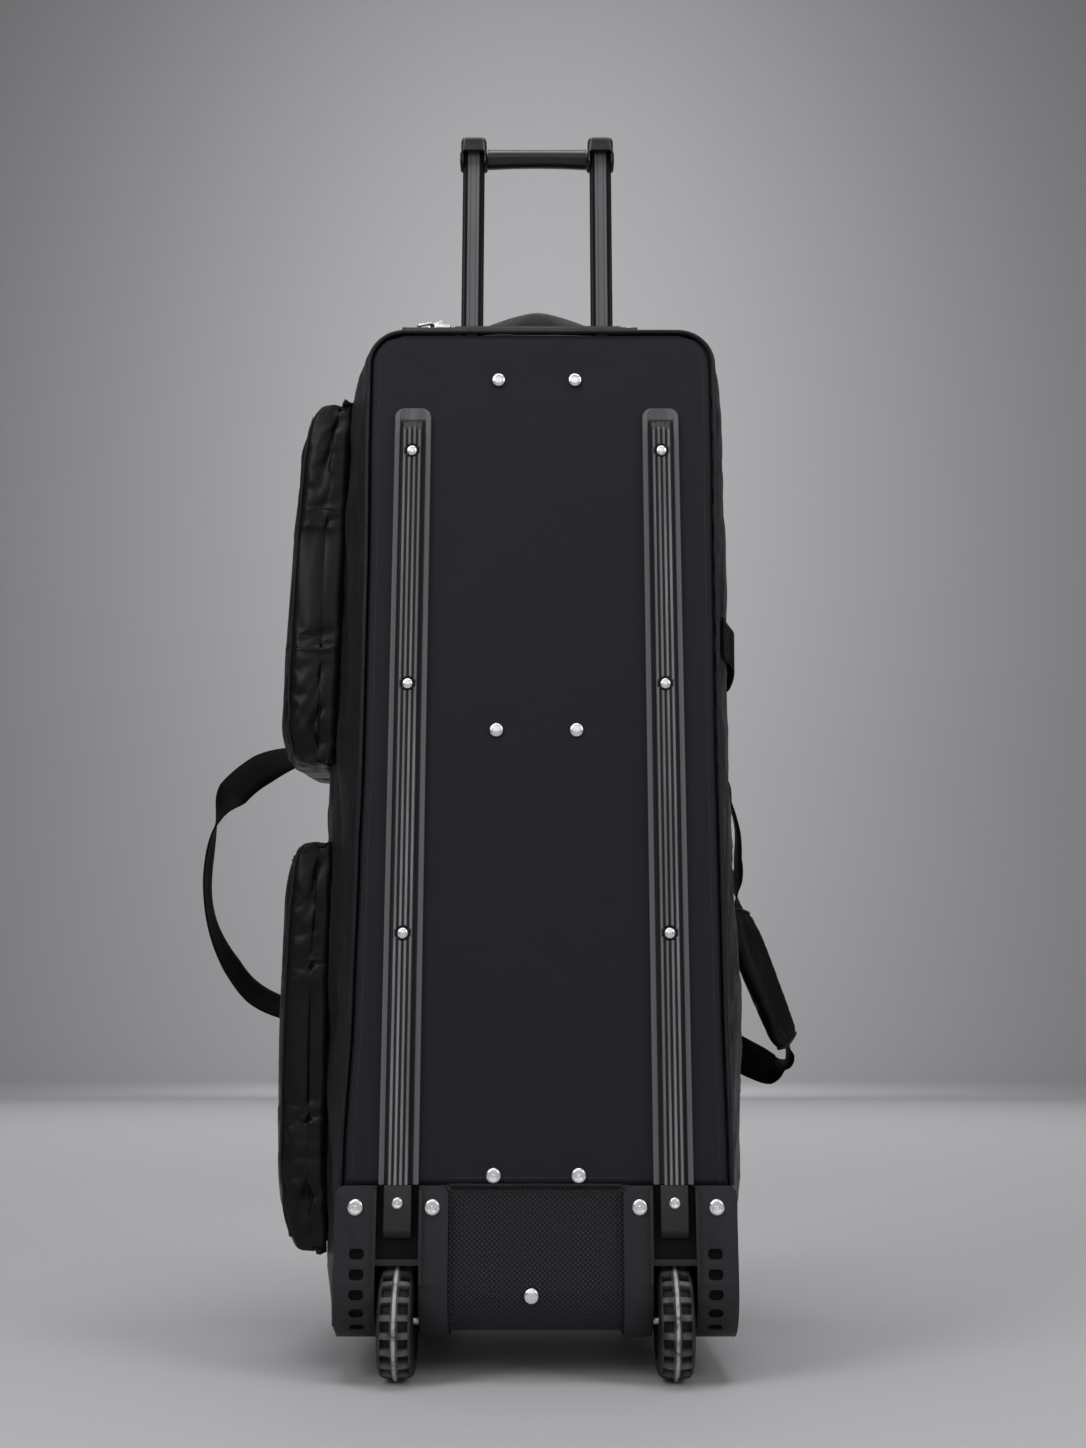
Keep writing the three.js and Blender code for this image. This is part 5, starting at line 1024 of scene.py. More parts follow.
def base_profile():
    """Path of the base cloth in depth and height, down the face, under the bag and up the front."""
    path = [(0.0, BASE_SEAM - 12 * k) for k in range(7)]
    for k in range(13):
        angle = math.pi / 2 * k / 12
        path.append(
            (
                BASE_BEND - BASE_BEND * math.cos(angle),
                FLOOR_CLEARANCE + BASE_BEND - BASE_BEND * math.sin(angle)
            )
        )
    for k in range(1, 16):
        path.append((lerp(BASE_BEND, BAG_DEPTH - FRONT_BEND, k / 15), FLOOR_CLEARANCE))
    for k in range(1, 9):
        angle = math.pi / 2 * k / 8
        path.append(
            (
                BAG_DEPTH - FRONT_BEND + FRONT_BEND * math.sin(angle),
                FLOOR_CLEARANCE + FRONT_BEND - FRONT_BEND * math.cos(angle)
            )
        )
    return path


HOUSING_HALF = 22.2
HOUSING_FAR = 81.5


def base_cloth():
    path = base_profile()
    inner, outer = RAIL_X - HOUSING_HALF, RAIL_X + HOUSING_HALF
    marks = [-1, -outer, -inner] + [lerp(-inner, inner, k / 12) for k in range(1, 12)] + [inner, outer, 1]

    def point(i, j):
        y, z = path[i]
        if j == 0:
            x = 1 - side_x(-1, z, y)
        elif j == len(marks) - 1:
            x = side_x(1, z, y) - 1
        else:
            x = marks[j]
        sag = 0.8 * rough(x, y, z, 60, 2.2) if abs(x) < inner else 0
        return x, y, z + (sag if y > BASE_BEND else 0)

    def skip(i, j):
        y, z = path[i]
        in_housing = marks[j] in (-outer, inner)
        return in_housing and z < 2 * WHEEL_RADIUS + 12 and y < HOUSING_FAR

    piece = grid_piece("base_cloth", point, len(path) - 1, len(marks) - 1, "base", skip=skip)
    finer = piece.modifiers.new("round", "SUBSURF")
    finer.subdivision_type = "SIMPLE"
    finer.levels = finer.render_levels = 1
    return finished(thicken(piece, CLOTH), "bag", "base_cloth", "base_panel")


def panel_outline(foot, inset, foot_radius, steps=10):
    """Seam outline in X and Z from a foot height over the rounded top, right side first."""
    points = []
    for side in (1, -1):
        run = []
        edge = seam_x(side, foot) - inset
        if foot_radius:
            for k in range(steps + 1):
                angle = math.radians(-90 + 90 * k / steps)
                radius = foot_radius - inset
                run.append(
                    (
                        edge - foot_radius + inset + radius * math.cos(angle),
                        foot + foot_radius + radius * math.sin(angle)
                    )
                )
        else:
            run.append((edge, foot))
        start = foot + foot_radius
        rows = 60
        for k in range(1, rows):
            z = lerp(start, CORNER_FOOT, k / rows)
            run.append((seam_x(side, z) - inset, z))
        centre = seam_x(side, CORNER_FOOT) - CORNER_RADIUS
        for k in range(steps + 1):
            angle = math.pi / 2 * k / steps
            radius = CORNER_RADIUS - inset
            run.append((centre + radius * math.cos(angle), CORNER_FOOT + radius * math.sin(angle)))
        if side > 0:
            points += run
            right_end = run[-1]
        else:
            left_end = (-run[-1][0], run[-1][1])
            across = 30
            points += [
                (lerp(right_end[0], left_end[0], k / across), right_end[1]) for k in range(1, across)
            ]
            points += [(-x, z) for x, z in reversed(run)]
    return points


def closed_outline(foot, inset, foot_radius):
    points = panel_outline(foot, inset, foot_radius)
    first, last = points[0], points[-1]
    return points + [(lerp(last[0], first[0], k / 30), first[1]) for k in range(1, 30)]


def front_point(edge, reach, lift):
    middle = (FRONT_FOOT + TOP) / 2
    x = edge[0] * reach
    z = lerp(middle, edge[1], reach)
    y = BAG_DEPTH + FRONT_SWELL * (1 - reach**FRONT_ROUNDNESS) + lift
    return x, y, z


def front_pieces():
    outline = closed_outline(FRONT_FOOT + GAP, 1, FRONT_FOOT_RADIUS)
    outline.reverse()
    count = len(outline)
    inner = 1 - ZIP_BORDER
    rings = 22

    def field(i, j):
        reach = lerp(0.002, inner, (i / rings) ** 0.9)
        x, y, z = front_point(outline[j], reach, 0)
        calm = 1 - smoothstep((reach - inner + 0.08) / 0.08)
        wave = 2.4 * rough(x, 0, z * 0.7, 90, 6.0) + 1.2 * rough(x * 1.4, 0, z, 40, 2.0)
        return x, y + wave * calm - 1.2, z

    panel = grid_piece("front_cloth", field, rings, count, "panel", ring=True)
    work = bmesh.new()
    work.from_mesh(panel.data)
    bmesh.ops.remove_doubles(work, verts=work.verts, dist=0.0012)
    work.to_mesh(panel.data)
    work.free()
    panel.data.polygons.foreach_set("use_smooth", [True] * len(panel.data.polygons))
    finished(thicken(panel, CLOTH - 0.5), "bag", "panel_cloth", "front_panel")

    lifts = [
        (0.0, 0.0), (0.1, 0.2), (0.34, 0.2), (0.38, 1.0), (0.46, 1.2), (0.47, 0.3), (0.53, 0.3),
        (0.54, 1.2), (0.62, 1.0), (0.66, 0.2), (0.9, 0.2), (1.0, 0.0)
    ]

    def tape(i, j):
        share, lift = lifts[i]
        return front_point(outline[j], lerp(inner + 0.003, 1, share), lift)

    zipper = grid_piece("front_zip_tape", tape, len(lifts) - 1, count, "trim", ring=True)
    finished(thicken(zipper, CLOTH - 0.3), "bag", "trim", "main_zip")
    path = []
    for edge in outline + outline[:1]:
        path.append((front_point(edge, lerp(inner, 1, 0.5), 0.9), (0, 1, 0)))
    zip_teeth("front_zip_teeth", along(path, 2.2), 1.2, 4.6, 1.0, 0.3)


def seam_piping():
    radius = PIPING / 2
    y = SEAM_STEP - GAP - radius
    outline = panel_outline(BASE_SEAM, -radius - GAP, 0)
    path = []
    for k, (x, z) in enumerate(outline):
        bob = 0.35 * rough(x, 0, z, 30, 4.4)
        path.append((x + bob, y, z + bob * 0.4))
    piping = tube_piece("seam_piping", path, radius - 0.1, "side")
    finished(piping, "bag", "trim", "back_piping")
    span = RAIL_X - GUARD_INNER - 1
    path = [
        (lerp(-span, span, k / 30), -(BASE_PIPING / 2 + GAP), BASE_SEAM + 0.3 * rough(k * 9, 0, 0, 40))
        for k in range(31)
    ]
    finished(
        tube_piece("base_seam_piping", path, BASE_PIPING / 2 - 0.05, "trim"), "bag", "trim", "base_piping"
    )
    border = []
    for x, z in panel_outline(BASE_SEAM + GAP, 8, 0):
        border.append(((x, panel_depth(x, z, 8), z), (0, -1, 0)))
    below = [((lerp(-span, span, k / 20), -0.1, BASE_SEAM - 5), (0, -1, 0)) for k in range(21)]
    above = [
        (
            (
                lerp(-span, span, k / 20), panel_depth(lerp(-span, span, k / 20), BASE_SEAM + 6, 30),
                BASE_SEAM + 6
            ),
            (0, -1, 0)
        )
        for k in range(21)
    ]
    stitches("face_stitches", [border, below, above])


# Side pockets
def arc_angles(steps, wide, tall):
    """Angles of a squared arch that lie at even steps along it."""
    power = 2 / POCKET_SQUARENESS
    fine = 720
    runs, last, gone = [], None, 0.0
    for k in range(fine + 1):
        angle = -math.pi / 2 + math.pi * k / fine
        sine, cosine = math.sin(angle), max(math.cos(angle), 0)
        spot = Vector((wide * math.copysign(abs(sine) ** power, sine), tall * cosine**power))
        if last is not None:
            gone += (spot - last).length
        last = spot
        runs.append((gone, angle))
    angles, k = [], 0
    for step in range(steps + 1):
        wanted = gone * step / steps
        while k < fine and runs[k + 1][0] < wanted:
            k += 1
        low, high = runs[k], runs[min(k + 1, fine)]
        share = (wanted - low[0]) / max(high[0] - low[0], 1e-9)
        angles.append(lerp(low[1], high[1], min(share, 1)))
    return angles


def squared(angle):
    power = 2 / POCKET_SQUARENESS
    sine, cosine = math.sin(angle), max(math.cos(angle), 0)
    return math.copysign(abs(sine) ** power, sine), cosine**power


def pocket_point(pocket, height, breadth, lift=0.0):
    up, rise_up = squared(height)
    over, rise_over = squared(breadth)
    share = (up + 1) / 2
    depth = pocket["depth"]
    swing = sample(POCKET_SECTIONS, share, "near") * depth * max(-over, 0) ** 2
    y = (POCKET_NEAR + POCKET_FAR) / 2 + (POCKET_FAR - POCKET_NEAR) / 2 * over + swing
    foot_rise = POCKET_FOOT_RISE * smoothstep(1 - share / 0.22) * (over + 1) / 2
    z = FLOOR_CLEARANCE + pocket["foot"] + POCKET_HEIGHT / 2 + POCKET_HEIGHT / 2 * up + foot_rise
    fold = fold_rise(POCKET_FOLDS, share, (over + 1) / 2, (POCKET_FAR - POCKET_NEAR) / POCKET_HEIGHT)
    out = depth * (sample(POCKET_SECTIONS, share, "out") + 0.3 * fold) + lift
    return Vector((-(side_x(-1, z, y) + POCKET_SEAT + out * rise_up * rise_over), y, z))


POCKET_CELL = 4.0
POCKET_CAP = 1.6
RIM = math.pi / 4


def crease_depth(p, seed):
    """Sharp slanting creases that run up and across a stuffed nylon pouch."""
    depth = 0.0
    for turn, long, wide, share in ((-64, 120, 26, 1.0), (-38, 90, 20, 0.6), (42, 100, 30, 0.4)):
        angle = math.radians(turn)
        across = p.y * 0.6 - p.x
        a = p.z * math.sin(angle) + across * math.cos(angle)
        b = p.z * math.cos(angle) - across * math.sin(angle)
        n = noise.noise(Vector((a / long, b / wide, seed + turn)))
        depth += share * max(0.0, 1 - abs(n) * 5.0) ** 1.5
    return depth


def tuck_depth(tucks, out, up, deep):
    """Depth of the tucks in a pocket's near side: steep on the side below, soft above."""
    here = Vector((out * deep, up * POCKET_HEIGHT))
    depth = 0.0
    for out_from, up_from, out_to, up_to, deepest in tucks:
        start = Vector((out_from * deep, up_from * POCKET_HEIGHT))
        run = Vector((out_to * deep, up_to * POCKET_HEIGHT)) - start
        length = run.length
        run.normalize()
        gone = (here - start).dot(run) / length
        across = (here - start).dot(Vector((-run.y, run.x)))
        taper = smoothstep((gone + 0.12) / 0.2) * smoothstep((1.1 - gone) / 0.6)
        width = 2.4 if across < 0 else 7.5
        depth += 1.3 * deepest * taper * math.exp(-abs(across) / width)
    return depth


def pocket(name, which, node, seed, tucks):
    """A stuffed nylon pouch, held at its seams and its face's sewn rim, and creased between them."""
    rows = int((POCKET_HEIGHT + 2 * which["depth"]) / POCKET_CELL)
    columns = int((POCKET_FAR - POCKET_NEAR + 2 * which["depth"]) / POCKET_CELL)
    heights = arc_angles(rows, POCKET_HEIGHT / 2, which["depth"])
    breadths = arc_angles(columns, (POCKET_FAR - POCKET_NEAR) / 2, which["depth"])

    def nearest(angles, wanted):
        return min(range(len(angles)), key=lambda k: abs(angles[k] - wanted))

    low, high = nearest(heights, -RIM), nearest(heights, RIM)
    near, far = nearest(breadths, -RIM), nearest(breadths, RIM)
    wide = columns + 1

    def at_border(i, j):
        return i in (0, rows) or j in (0, columns)

    def at_rim(i, j):
        along_height = low <= i <= high and j in (near, far)
        return along_height or (near <= j <= far and i in (low, high))

    def point(i, j):
        p = pocket_point(which, heights[i], breadths[j])
        ripple = rough(p.x, p.y, p.z, 45, seed) * 1.2
        return pocket_point(which, heights[i], breadths[j], -2.2 if at_border(i, j) else ripple - 2.2)

    piece = grid_piece(name, point, rows, columns, "pocket")
    held = {
        i * wide + j for i in range(rows + 1) for j in range(wide) if at_border(i, j) or at_rim(i, j)
    }
    filled(piece, held, POCKET_CAP * MM)
    piece.data.update()
    moves = []
    for vertex in piece.data.vertices:
        i, j = divmod(vertex.index, wide)
        edge = min(i, rows - i, j, columns - j)
        rim = min(abs(i - low), abs(i - high), abs(j - near), abs(j - far))
        p = (vertex.co - place(0, 0, 0)) / MM
        inner = 1 - smoothstep((min(j, columns - j) - 0.45 * near) / (0.6 * near))
        calm = smoothstep(edge / 3) * (0.2 + 0.8 * smoothstep(rim / 3)) * (0.22 + 0.78 * inner)
        gather = math.sin(p.y / 3.1 + seed) * math.exp(-edge / 5) * smoothstep(edge / 2) * 1.3
        depth = (2.0 * crease_depth(p, seed) - 0.6) * calm
        if j < near:
            depth += tuck_depth(
                tucks, j / near, i / rows, which["depth"]
            ) * smoothstep(edge / 2) * smoothstep(rim / 3)
        moves.append(vertex.normal * ((gather - depth) * MM))
    for vertex, move in zip(piece.data.vertices, moves):
        vertex.co = vertex.co + move
    smooth = piece.modifiers.new("smooth", "SUBSURF")
    smooth.levels = smooth.render_levels = 1
    settle(piece)
    thicken(piece, 1.2)
    finished(piece, "bag", "pocket_cloth", node)
    loop = [(low, j) for j in range(near, far)] + [(i, far) for i in range(low, high)]
    loop += [(high, j) for j in range(far, near, -1)] + [(i, near) for i in range(high, low, -1)]
    path = [pocket_point(which, heights[i], breadths[j], -1.6) for i, j in loop]
    finished(tube_piece(name + "_rim", path, 1.5, "trim", closed=True), "bag", "trim")
    return piece


def filled(piece, pinned, cap, frames=22, pressure=4.0, slack=-0.025):
    """Blows a sheet up from inside with its pinned points held, then caps how far each point went."""
    start = [v.co.copy() for v in piece.data.vertices]
    group = piece.vertex_groups.new(name="held")
    group.add(sorted(pinned), 1.0, "REPLACE")
    cloth = piece.modifiers.new("fill", "CLOTH")
    settings = cloth.settings
    settings.quality = 6
    settings.mass = 0.25
    settings.tension_stiffness = 14
    settings.compression_stiffness = 10
    settings.shear_stiffness = 6
    settings.bending_stiffness = 0.35
    settings.vertex_group_mass = "held"
    settings.shrink_min = slack
    settings.use_pressure = True
    settings.uniform_pressure_force = pressure
    settings.effector_weights.gravity = 0
    cloth.collision_settings.use_self_collision = False
    cloth.collision_settings.use_collision = False
    cloth.point_cache.frame_start = 1
    cloth.point_cache.frame_end = frames
    scene = bpy.context.scene
    for step in range(1, frames + 1):
        scene.frame_set(step)
    graph = bpy.context.evaluated_depsgraph_get()
    moved = [v.co.copy() for v in piece.evaluated_get(graph).data.vertices]
    piece.modifiers.clear()
    piece.vertex_groups.clear()
    scene.frame_set(1)
    for vertex, was, now in zip(piece.data.vertices, start, moved):
        step = now - was
        if step.length > cap:
            step = step.normalized() * cap
        vertex.co = was + step


def squared_angle(over):
    return math.asin(math.copysign(abs(over) ** (POCKET_SQUARENESS / 2), over))


def pocket_zip(name, which, node, pouch):
    """A straight zip that lies on the pouch's finished cloth."""
    rows, half = 60, 13 / 105
    mesh = pouch.data
    cloth = BVHTree.FromPolygons([v.co for v in mesh.vertices], [face.vertices for face in mesh.polygons])

    def spot(i, share):
        return pocket_point(
            which, math.asin(lerp(-0.62, 0.62, i / rows)), squared_angle(0.24 + half * share)
        )

    def cloth_x(i, share):
        p = spot(i, share)
        hit = cloth.ray_cast(place(p.x - 60, p.y, p.z), Vector((1, 0, 0)))[0]
        return (hit.x - CENTRE_X) / MM if hit else p.x

    highest = [min(cloth_x(i, share) for share in (-1, -0.5, 0, 0.5, 1)) for i in range(rows + 1)]
    seat = [sum(highest[max(i - 2, 0):i + 3]) / len(highest[max(i - 2, 0):i + 3]) for i in range(rows + 1)]
    lifts = [
        (-1, 0.2), (-0.92, 1.4), (-0.35, 1.6), (-0.22, 2.6), (-0.16, 1.2), (0.16, 1.2), (0.22, 2.6),
        (0.35, 1.6), (0.92, 1.4), (1, 0.2)
    ]

    def at(i, share, lift):
        p = spot(i, share)
        return seat[i] - 0.4 - lift, p.y, p.z

    tape = grid_piece(name, lambda i, j: at(i, *lifts[j]), rows, len(lifts) - 1, "trim")
    tape = finished(thicken(tape, 1.0), "bag", "trim", node)
    path = [(at(i, 0, 1.9), (-1, 0, 0)) for i in range(1, rows)]
    zip_teeth(name + "_teeth", along(path, TOOTH_PITCH), 1.1, 4.0, 0.9, 0.25)
    seams = [[(at(i, share, 1.6), (-1, 0, 0)) for i in range(1, rows)] for share in (-0.7, 0.7)]
    stitches(name + "_stitches", seams)


# Webbing
def strap_frames(rows, side, count):
    """Evenly spaced places on a smooth line through a strap's rows, with the band's three directions."""
    places = [
        Vector((side * (side_x(side, TOP - down, back) + out), back, TOP - down))
        for out, back, down, _ in rows
    ]
    last = len(places) - 1
    fine = []
    steps = 40
    for i in range(last):
        p1, p2 = places[i], places[i + 1]
        p0 = places[i - 1] if i else p1 * 2 - p2
        p3 = places[i + 2] if i + 2 <= last else p2 * 2 - p1
        d0, d1, d2 = (max((b - a).length, 1e-4) ** 0.5 for a, b in ((p0, p1), (p1, p2), (p2, p3)))
        m1 = ((p1 - p0) / d0 - (p2 - p0) / (d0 + d1) + (p2 - p1) / d1) * d1
        m2 = ((p2 - p1) / d1 - (p3 - p1) / (d1 + d2) + (p3 - p2) / d2) * d1
        for k in range(steps):
            t = k / steps
            spot = p1 + m1 * t + (p2 * 3 - p1 * 3 - m1 * 2 - m2) * t**2 + (p1 * 2 - p2 * 2 + m1 + m2) * t**3
            fine.append((spot, lerp(rows[i][3], rows[i + 1][3], t)))
    fine.append((places[-1], rows[-1][3]))
    runs = [0.0]
    for (a, _), (b, _) in zip(fine, fine[1:]):
        runs.append(runs[-1] + (b - a).length)
    frames, k = [], 0
    for step in range(count + 1):
        wanted = runs[-1] * step / count
        while k < len(runs) - 2 and runs[k + 1] < wanted:
            k += 1
        share = (wanted - runs[k]) / (runs[k + 1] - runs[k])
        spot = fine[k][0].lerp(fine[k + 1][0], share)
        run = (fine[min(k + 2, len(fine) - 1)][0] - fine[max(k - 1, 0)][0]).normalized()
        turn = math.radians(lerp(fine[k][1], fine[k + 1][1], share))
        flat = Vector((0, math.cos(turn), abs(math.sin(turn))))
        across = (flat - run * flat.dot(run)).normalized()
        frames.append((spot, run, across, run.cross(across)))
    return frames, runs[-1]


def strap(name, rows, side, node):
    count = STRAP_STATIONS
    frames, length = strap_frames(rows, side, count)
    half, thick = WEBBING_WIDTH / 2, WEBBING / 2
    section = [(-1, -0.4), (-0.985, -1), (-0.5, -1), (0, -1), (0.5, -1), (0.985, -1), (1, -0.4), (1, 0.4),
               (0.985, 1), (0.5, 1), (0, 1), (-0.5, 1), (-0.985, 1), (-1, 0.4)]

    def point(i, j):
        spot, _, across, face = frames[i]
        u, v = section[j % len(section)]
        free = smoothstep((i - 12) / 20) * smoothstep((count - 12 - i) / 20)
        curl = STRAP_CURL * u * u * free
        return spot + across * (u * half) + face * (v * thick * 0.9 + curl)

    piece = grid_piece(name, point, count, len(section), "webbing", ring=True)
    layer = piece.data.uv_layers["UVMap"]
    for loop in piece.data.loops:
        i, j = divmod(loop.vertex_index, len(section))
        layer.data[loop.index].uv = (length * MM * i / count, section[j][0] * half * MM)
    cap_ends(piece)
    finished(piece, "bag", "webbing", node)
    paths = []
    for at in (-0.86, 0.86):
        path = []
        for i in range(2, count - 1):
            spot, _, across, face = frames[i]
            free = smoothstep((i - 12) / 20) * smoothstep((count - 12 - i) / 20)
            path.append((spot + across * (at * half) + face * (thick + STRAP_CURL * at * at * free), face))
        paths.append(path)
    stitches(name + "_stitches", paths, 2.2, 3.4, 0.05)
    return piece


def cap_ends(piece):
    work = bmesh.new()
    work.from_mesh(piece.data)
    bmesh.ops.holes_fill(work, edges=[e for e in work.edges if e.is_boundary], sides=0)
    bmesh.ops.recalc_face_normals(work, faces=work.faces)
    work.to_mesh(piece.data)
    work.free()
    piece.data.polygons.foreach_set("use_smooth", [True] * len(piece.data.polygons))


def grip_wrap():
    """A padded sleeve that closes round the right strap, swollen between its bound ends."""
    frames, _ = strap_frames(RIGHT_STRAP, 1, STRAP_STATIONS)
    first, last = round(WRAP_FROM * STRAP_STATIONS), round(WRAP_TO * STRAP_STATIONS)
    rows, sides = last - first, 40

    def section(i, j, width, thickness):
        spot, _, across, face = frames[first + i]
        angle = 2 * math.pi * j / sides
        u = math.copysign(abs(math.cos(angle)) ** 0.6, math.cos(angle))
        v = math.copysign(abs(math.sin(angle)) ** 0.7, math.sin(angle))
        return spot + across * (u * width / 2) + face * (v * thickness / 2)

    def point(i, j):
        ends = min(i, rows - i) / 5
        full = 0.72 + 0.22 * smoothstep(ends)
        return section(i, j, WRAP_WIDTH * (0.93 + 0.04 * smoothstep(ends)), WRAP_THICKNESS * full)

    piece = grid_piece("grip_wrap_pad", point, rows, sides, "wrap", ring=True)
    cap_ends(piece)
    remesh = piece.modifiers.new("remesh", "REMESH")
    remesh.mode = "VOXEL"
    remesh.voxel_size = 4 * MM
    settle(piece)
    piece.data.materials.clear()
    piece.data.materials.append(FINISHES["wrap"])
    filled(piece, set(), 2.6 * MM, 16, 2.2, -0.02)
    swell = piece.modifiers.new("smooth", "SUBSURF")
    swell.levels = swell.render_levels = 1
    settle(piece)
    piece.data.polygons.foreach_set("use_smooth", [True] * len(piece.data.polygons))
    box_map(piece)
    finished(piece, "bag", "side_cloth", "grip_wrap")
    for name, i in (("upper", 1), ("lower", rows - 1)):
        path = [section(i, j, WRAP_WIDTH * 0.99, WRAP_THICKNESS * 0.86) for j in range(sides)]
        finished(tube_piece("wrap_binding_" + name, path, 1.3, "trim", closed=True), "bag", "trim")
    seams = []
    for j in (7, 13):
        outside = [section(i, j, WRAP_WIDTH * 0.99, WRAP_THICKNESS * 1.04) for i in range(3, rows - 2)]
        seams.append([(spot, frames[first + i][3]) for i, spot in enumerate(outside, 3)])
    stitches("wrap_stitches", seams)


def box_map(piece):
    """A map in metres by the way each face looks, for cloth that lost its own."""
    mesh = piece.data
    layer = mesh.uv_layers.get("UVMap") or mesh.uv_layers.new(name="UVMap")
    for face in mesh.polygons:
        side = max(range(3), key=lambda k: abs(face.normal[k]))
        a, b = [k for k in range(3) if k != side]
        for loop in face.loop_indices:
            co = mesh.vertices[mesh.loops[loop].vertex_index].co
            layer.data[loop].uv = (co[b], co[a])


def side_handle():
    rows = 90
    section = [(-1, 0.3), (-0.97, 1), (-0.5, 1.0), (0, 1.0), (0.5, 1.0), (0.97, 1), (1, 0.3)]

    def at(i, u, v, lift=0.0):
        share = i / rows
        y = lerp(16, 220, share)
        z = SIDE_HANDLE_HEIGHT + u * WEBBING_WIDTH / 2
        clear = smoothstep((min(share, 1 - share) - 0.1) / 0.2) * 4
        return side_x(1, z, y) + 0.8 + clear + v * WEBBING + lift, y, z

    piece = grid_piece(
        "side_handle_webbing", lambda i, j: at(i, *section[j]), rows, len(section) - 1, "webbing"
    )
    finished(thicken(piece, 1.8), "bag", "webbing", "side_handle")
    paths = []
    for low, high in ((2, 12), (rows - 12, rows - 2)):
        corners = [(low, -0.8), (high, -0.8), (high, 0.8), (low, 0.8), (low, -0.8)]
        box = []
        for (a, b), (c, d) in zip(corners, corners[1:]):
            for k in range(8):
                i = lerp(a, c, k / 8)
                box.append((at(i, lerp(b, d, k / 8), 1.05), (1, 0, 0)))
        paths.append(box)
        for end in (0.8, -0.8):
            crossing = [at(lerp(low, high, k / 8), lerp(-end, end, k / 8), 1.05) for k in range(9)]
            paths.append([(spot, (1, 0, 0)) for spot in crossing])
    stitches("side_handle_stitches", paths, 2.4, 3.2)


# Handle slot zip
def handle_zip():
    rows = 78
    depths = [
        ZIP_NEAR, 5.0, 7.5, 9.2, 10.6, 11.5, 14, 17, 19, 20, 21, 22, 23, 25, 28, 30.5, 31.4, 32.6, 34, 36,
        39, 42, 43.4, ZIP_FAR
    ]
    ridge = {2: 1.4, 3: 2.9, 4: 2.6, 5: 1.0, 9: 0.7, 10: 0.2, 11: 0.7, 15: 0.9, 16: 2.0, 17: 1.6, 18: 0.4}

    def slot(x):
        return abs(x) < SLOT_HALF_LENGTH - 1

    def point(i, j):
        x = lerp(ZIP_LEFT, ZIP_RIGHT, i / rows)
        y = depths[j]
        lift = ridge.get(j, 0)
        if not slot(x) and j in (3, 4, 5, 15, 16, 17):
            lift *= 0.5
        wave = 0.5 * rough(x, y, 0, 18, 2.0)
        edge = 0 if j in (0, len(depths) - 1) else ZIP_THICKNESS - 0.4
        return x, y, top_z(y) + ZIP_SEAT + edge + lift + (wave if edge else 0)

    def skip(i, j):
        x = lerp(ZIP_LEFT, ZIP_RIGHT, (i + 0.5) / rows)
        return slot(x) and 5 <= j < 15

    piece = grid_piece("handle_zip_tape", point, rows, len(depths) - 1, "trim", skip=skip)
    finished(thicken(piece, 1.2), "bag", "trim", "handle_zip")
    paths = []
    for low, high in ((ZIP_LEFT + 4, -SLOT_HALF_LENGTH), (SLOT_HALF_LENGTH, ZIP_RIGHT - 3)):
        steps = 12
        paths.append(
            [
                ((lerp(low, high, k / steps), 21, top_z(21) + ZIP_SEAT + 2.6), (0, 0, 1))
                for k in range(steps + 1)
            ]
        )
    for y in (SLOT_NEAR + 0.6, SLOT_FAR - 0.6):
        paths.append(
            [
                (
                    (lerp(-SLOT_HALF_LENGTH, SLOT_HALF_LENGTH, k / 40), y, top_z(y) + ZIP_SEAT + 2.2),
                    (0, 0, 1)
                )
                for k in range(41)
            ]
        )
    spots = [spot for path in paths for spot in along(path, TOOTH_PITCH)]
    zip_teeth("handle_zip_teeth", spots, 1.1, 3.0, 1.1, 0.3)


def handle_flap():
    """Far lip of the slot, arched up between the tubes, with its zip edge along the top."""
    rows, columns = 60, 10

    def at(i, j, inset=0.0):
        share = 2 * i / rows - 1
        arch = lerp(0.16, 1, 1 - (0.02 + share * share) ** 0.68 + 0.07)
        up = j / columns
        y = SLOT_FAR + 3.4 + up * up * 5 + inset
        foot = top_z(y) + ZIP_SEAT + ZIP_THICKNESS + GAP
        wave = 0.6 * rough(share * FLAP_HALF_LENGTH, 0, up * 20, 14, 9.0) * up
        return share * FLAP_HALF_LENGTH, y + wave, foot + up * FLAP_RISE * arch

    piece = grid_piece("handle_flap_cloth", at, rows, columns, "side")
    flipped(piece)
    finished(thicken(piece, 1.8), "bag", "side_cloth", "handle_flap")
    rim = [at(i, columns, 0.9) for i in range(rows + 1)]
    finished(tube_piece("handle_flap_binding", rim, 1.3, "trim"), "bag", "trim")
    path = [(at(i, columns - 3, -0.2), (0, -1, 0.2)) for i in range(rows + 1)]
    zip_teeth("handle_flap_teeth", along(path, TOOTH_PITCH), 1.1, 2.6, 1.0, 0.3)


# Hard pieces
STUD_PROFILE = [
    (1.0, 0.0), (1.0, 0.3), (0.97, 0.48), (0.88, 0.66), (0.76, 0.79), (0.6, 0.89), (0.4, 0.96), (0.2, 0.99),
    (0.0, 1.0)
]
SCREW_PROFILE = [
    (1.0, 0.0), (1.0, 0.3), (0.96, 0.52), (0.86, 0.74), (0.74, 0.88), (0.62, 0.92), (0.54, 0.84),
    (0.5, 0.5), (0.24, 0.44), (0.2, 0.7), (0.12, 0.78), (0.0, 0.8)
]


def studs(name, places, diameter, profile, nodes):
    """Heads of one kind, all facing out of the skid-rail face, turned by Geometry Nodes onto their spots."""
    template = lathe_template(name, [(r * diameter / 2, h * 3.0) for r, h in profile], 32)
    spots = [(spot, (1, 0, 0), (0, -1, 0)) for spot in places]
    piece = repeated(name, spots, template, "nickel", wobble=0.01, seed=3)
    return finished(piece, "bag", "nickel", *nodes)


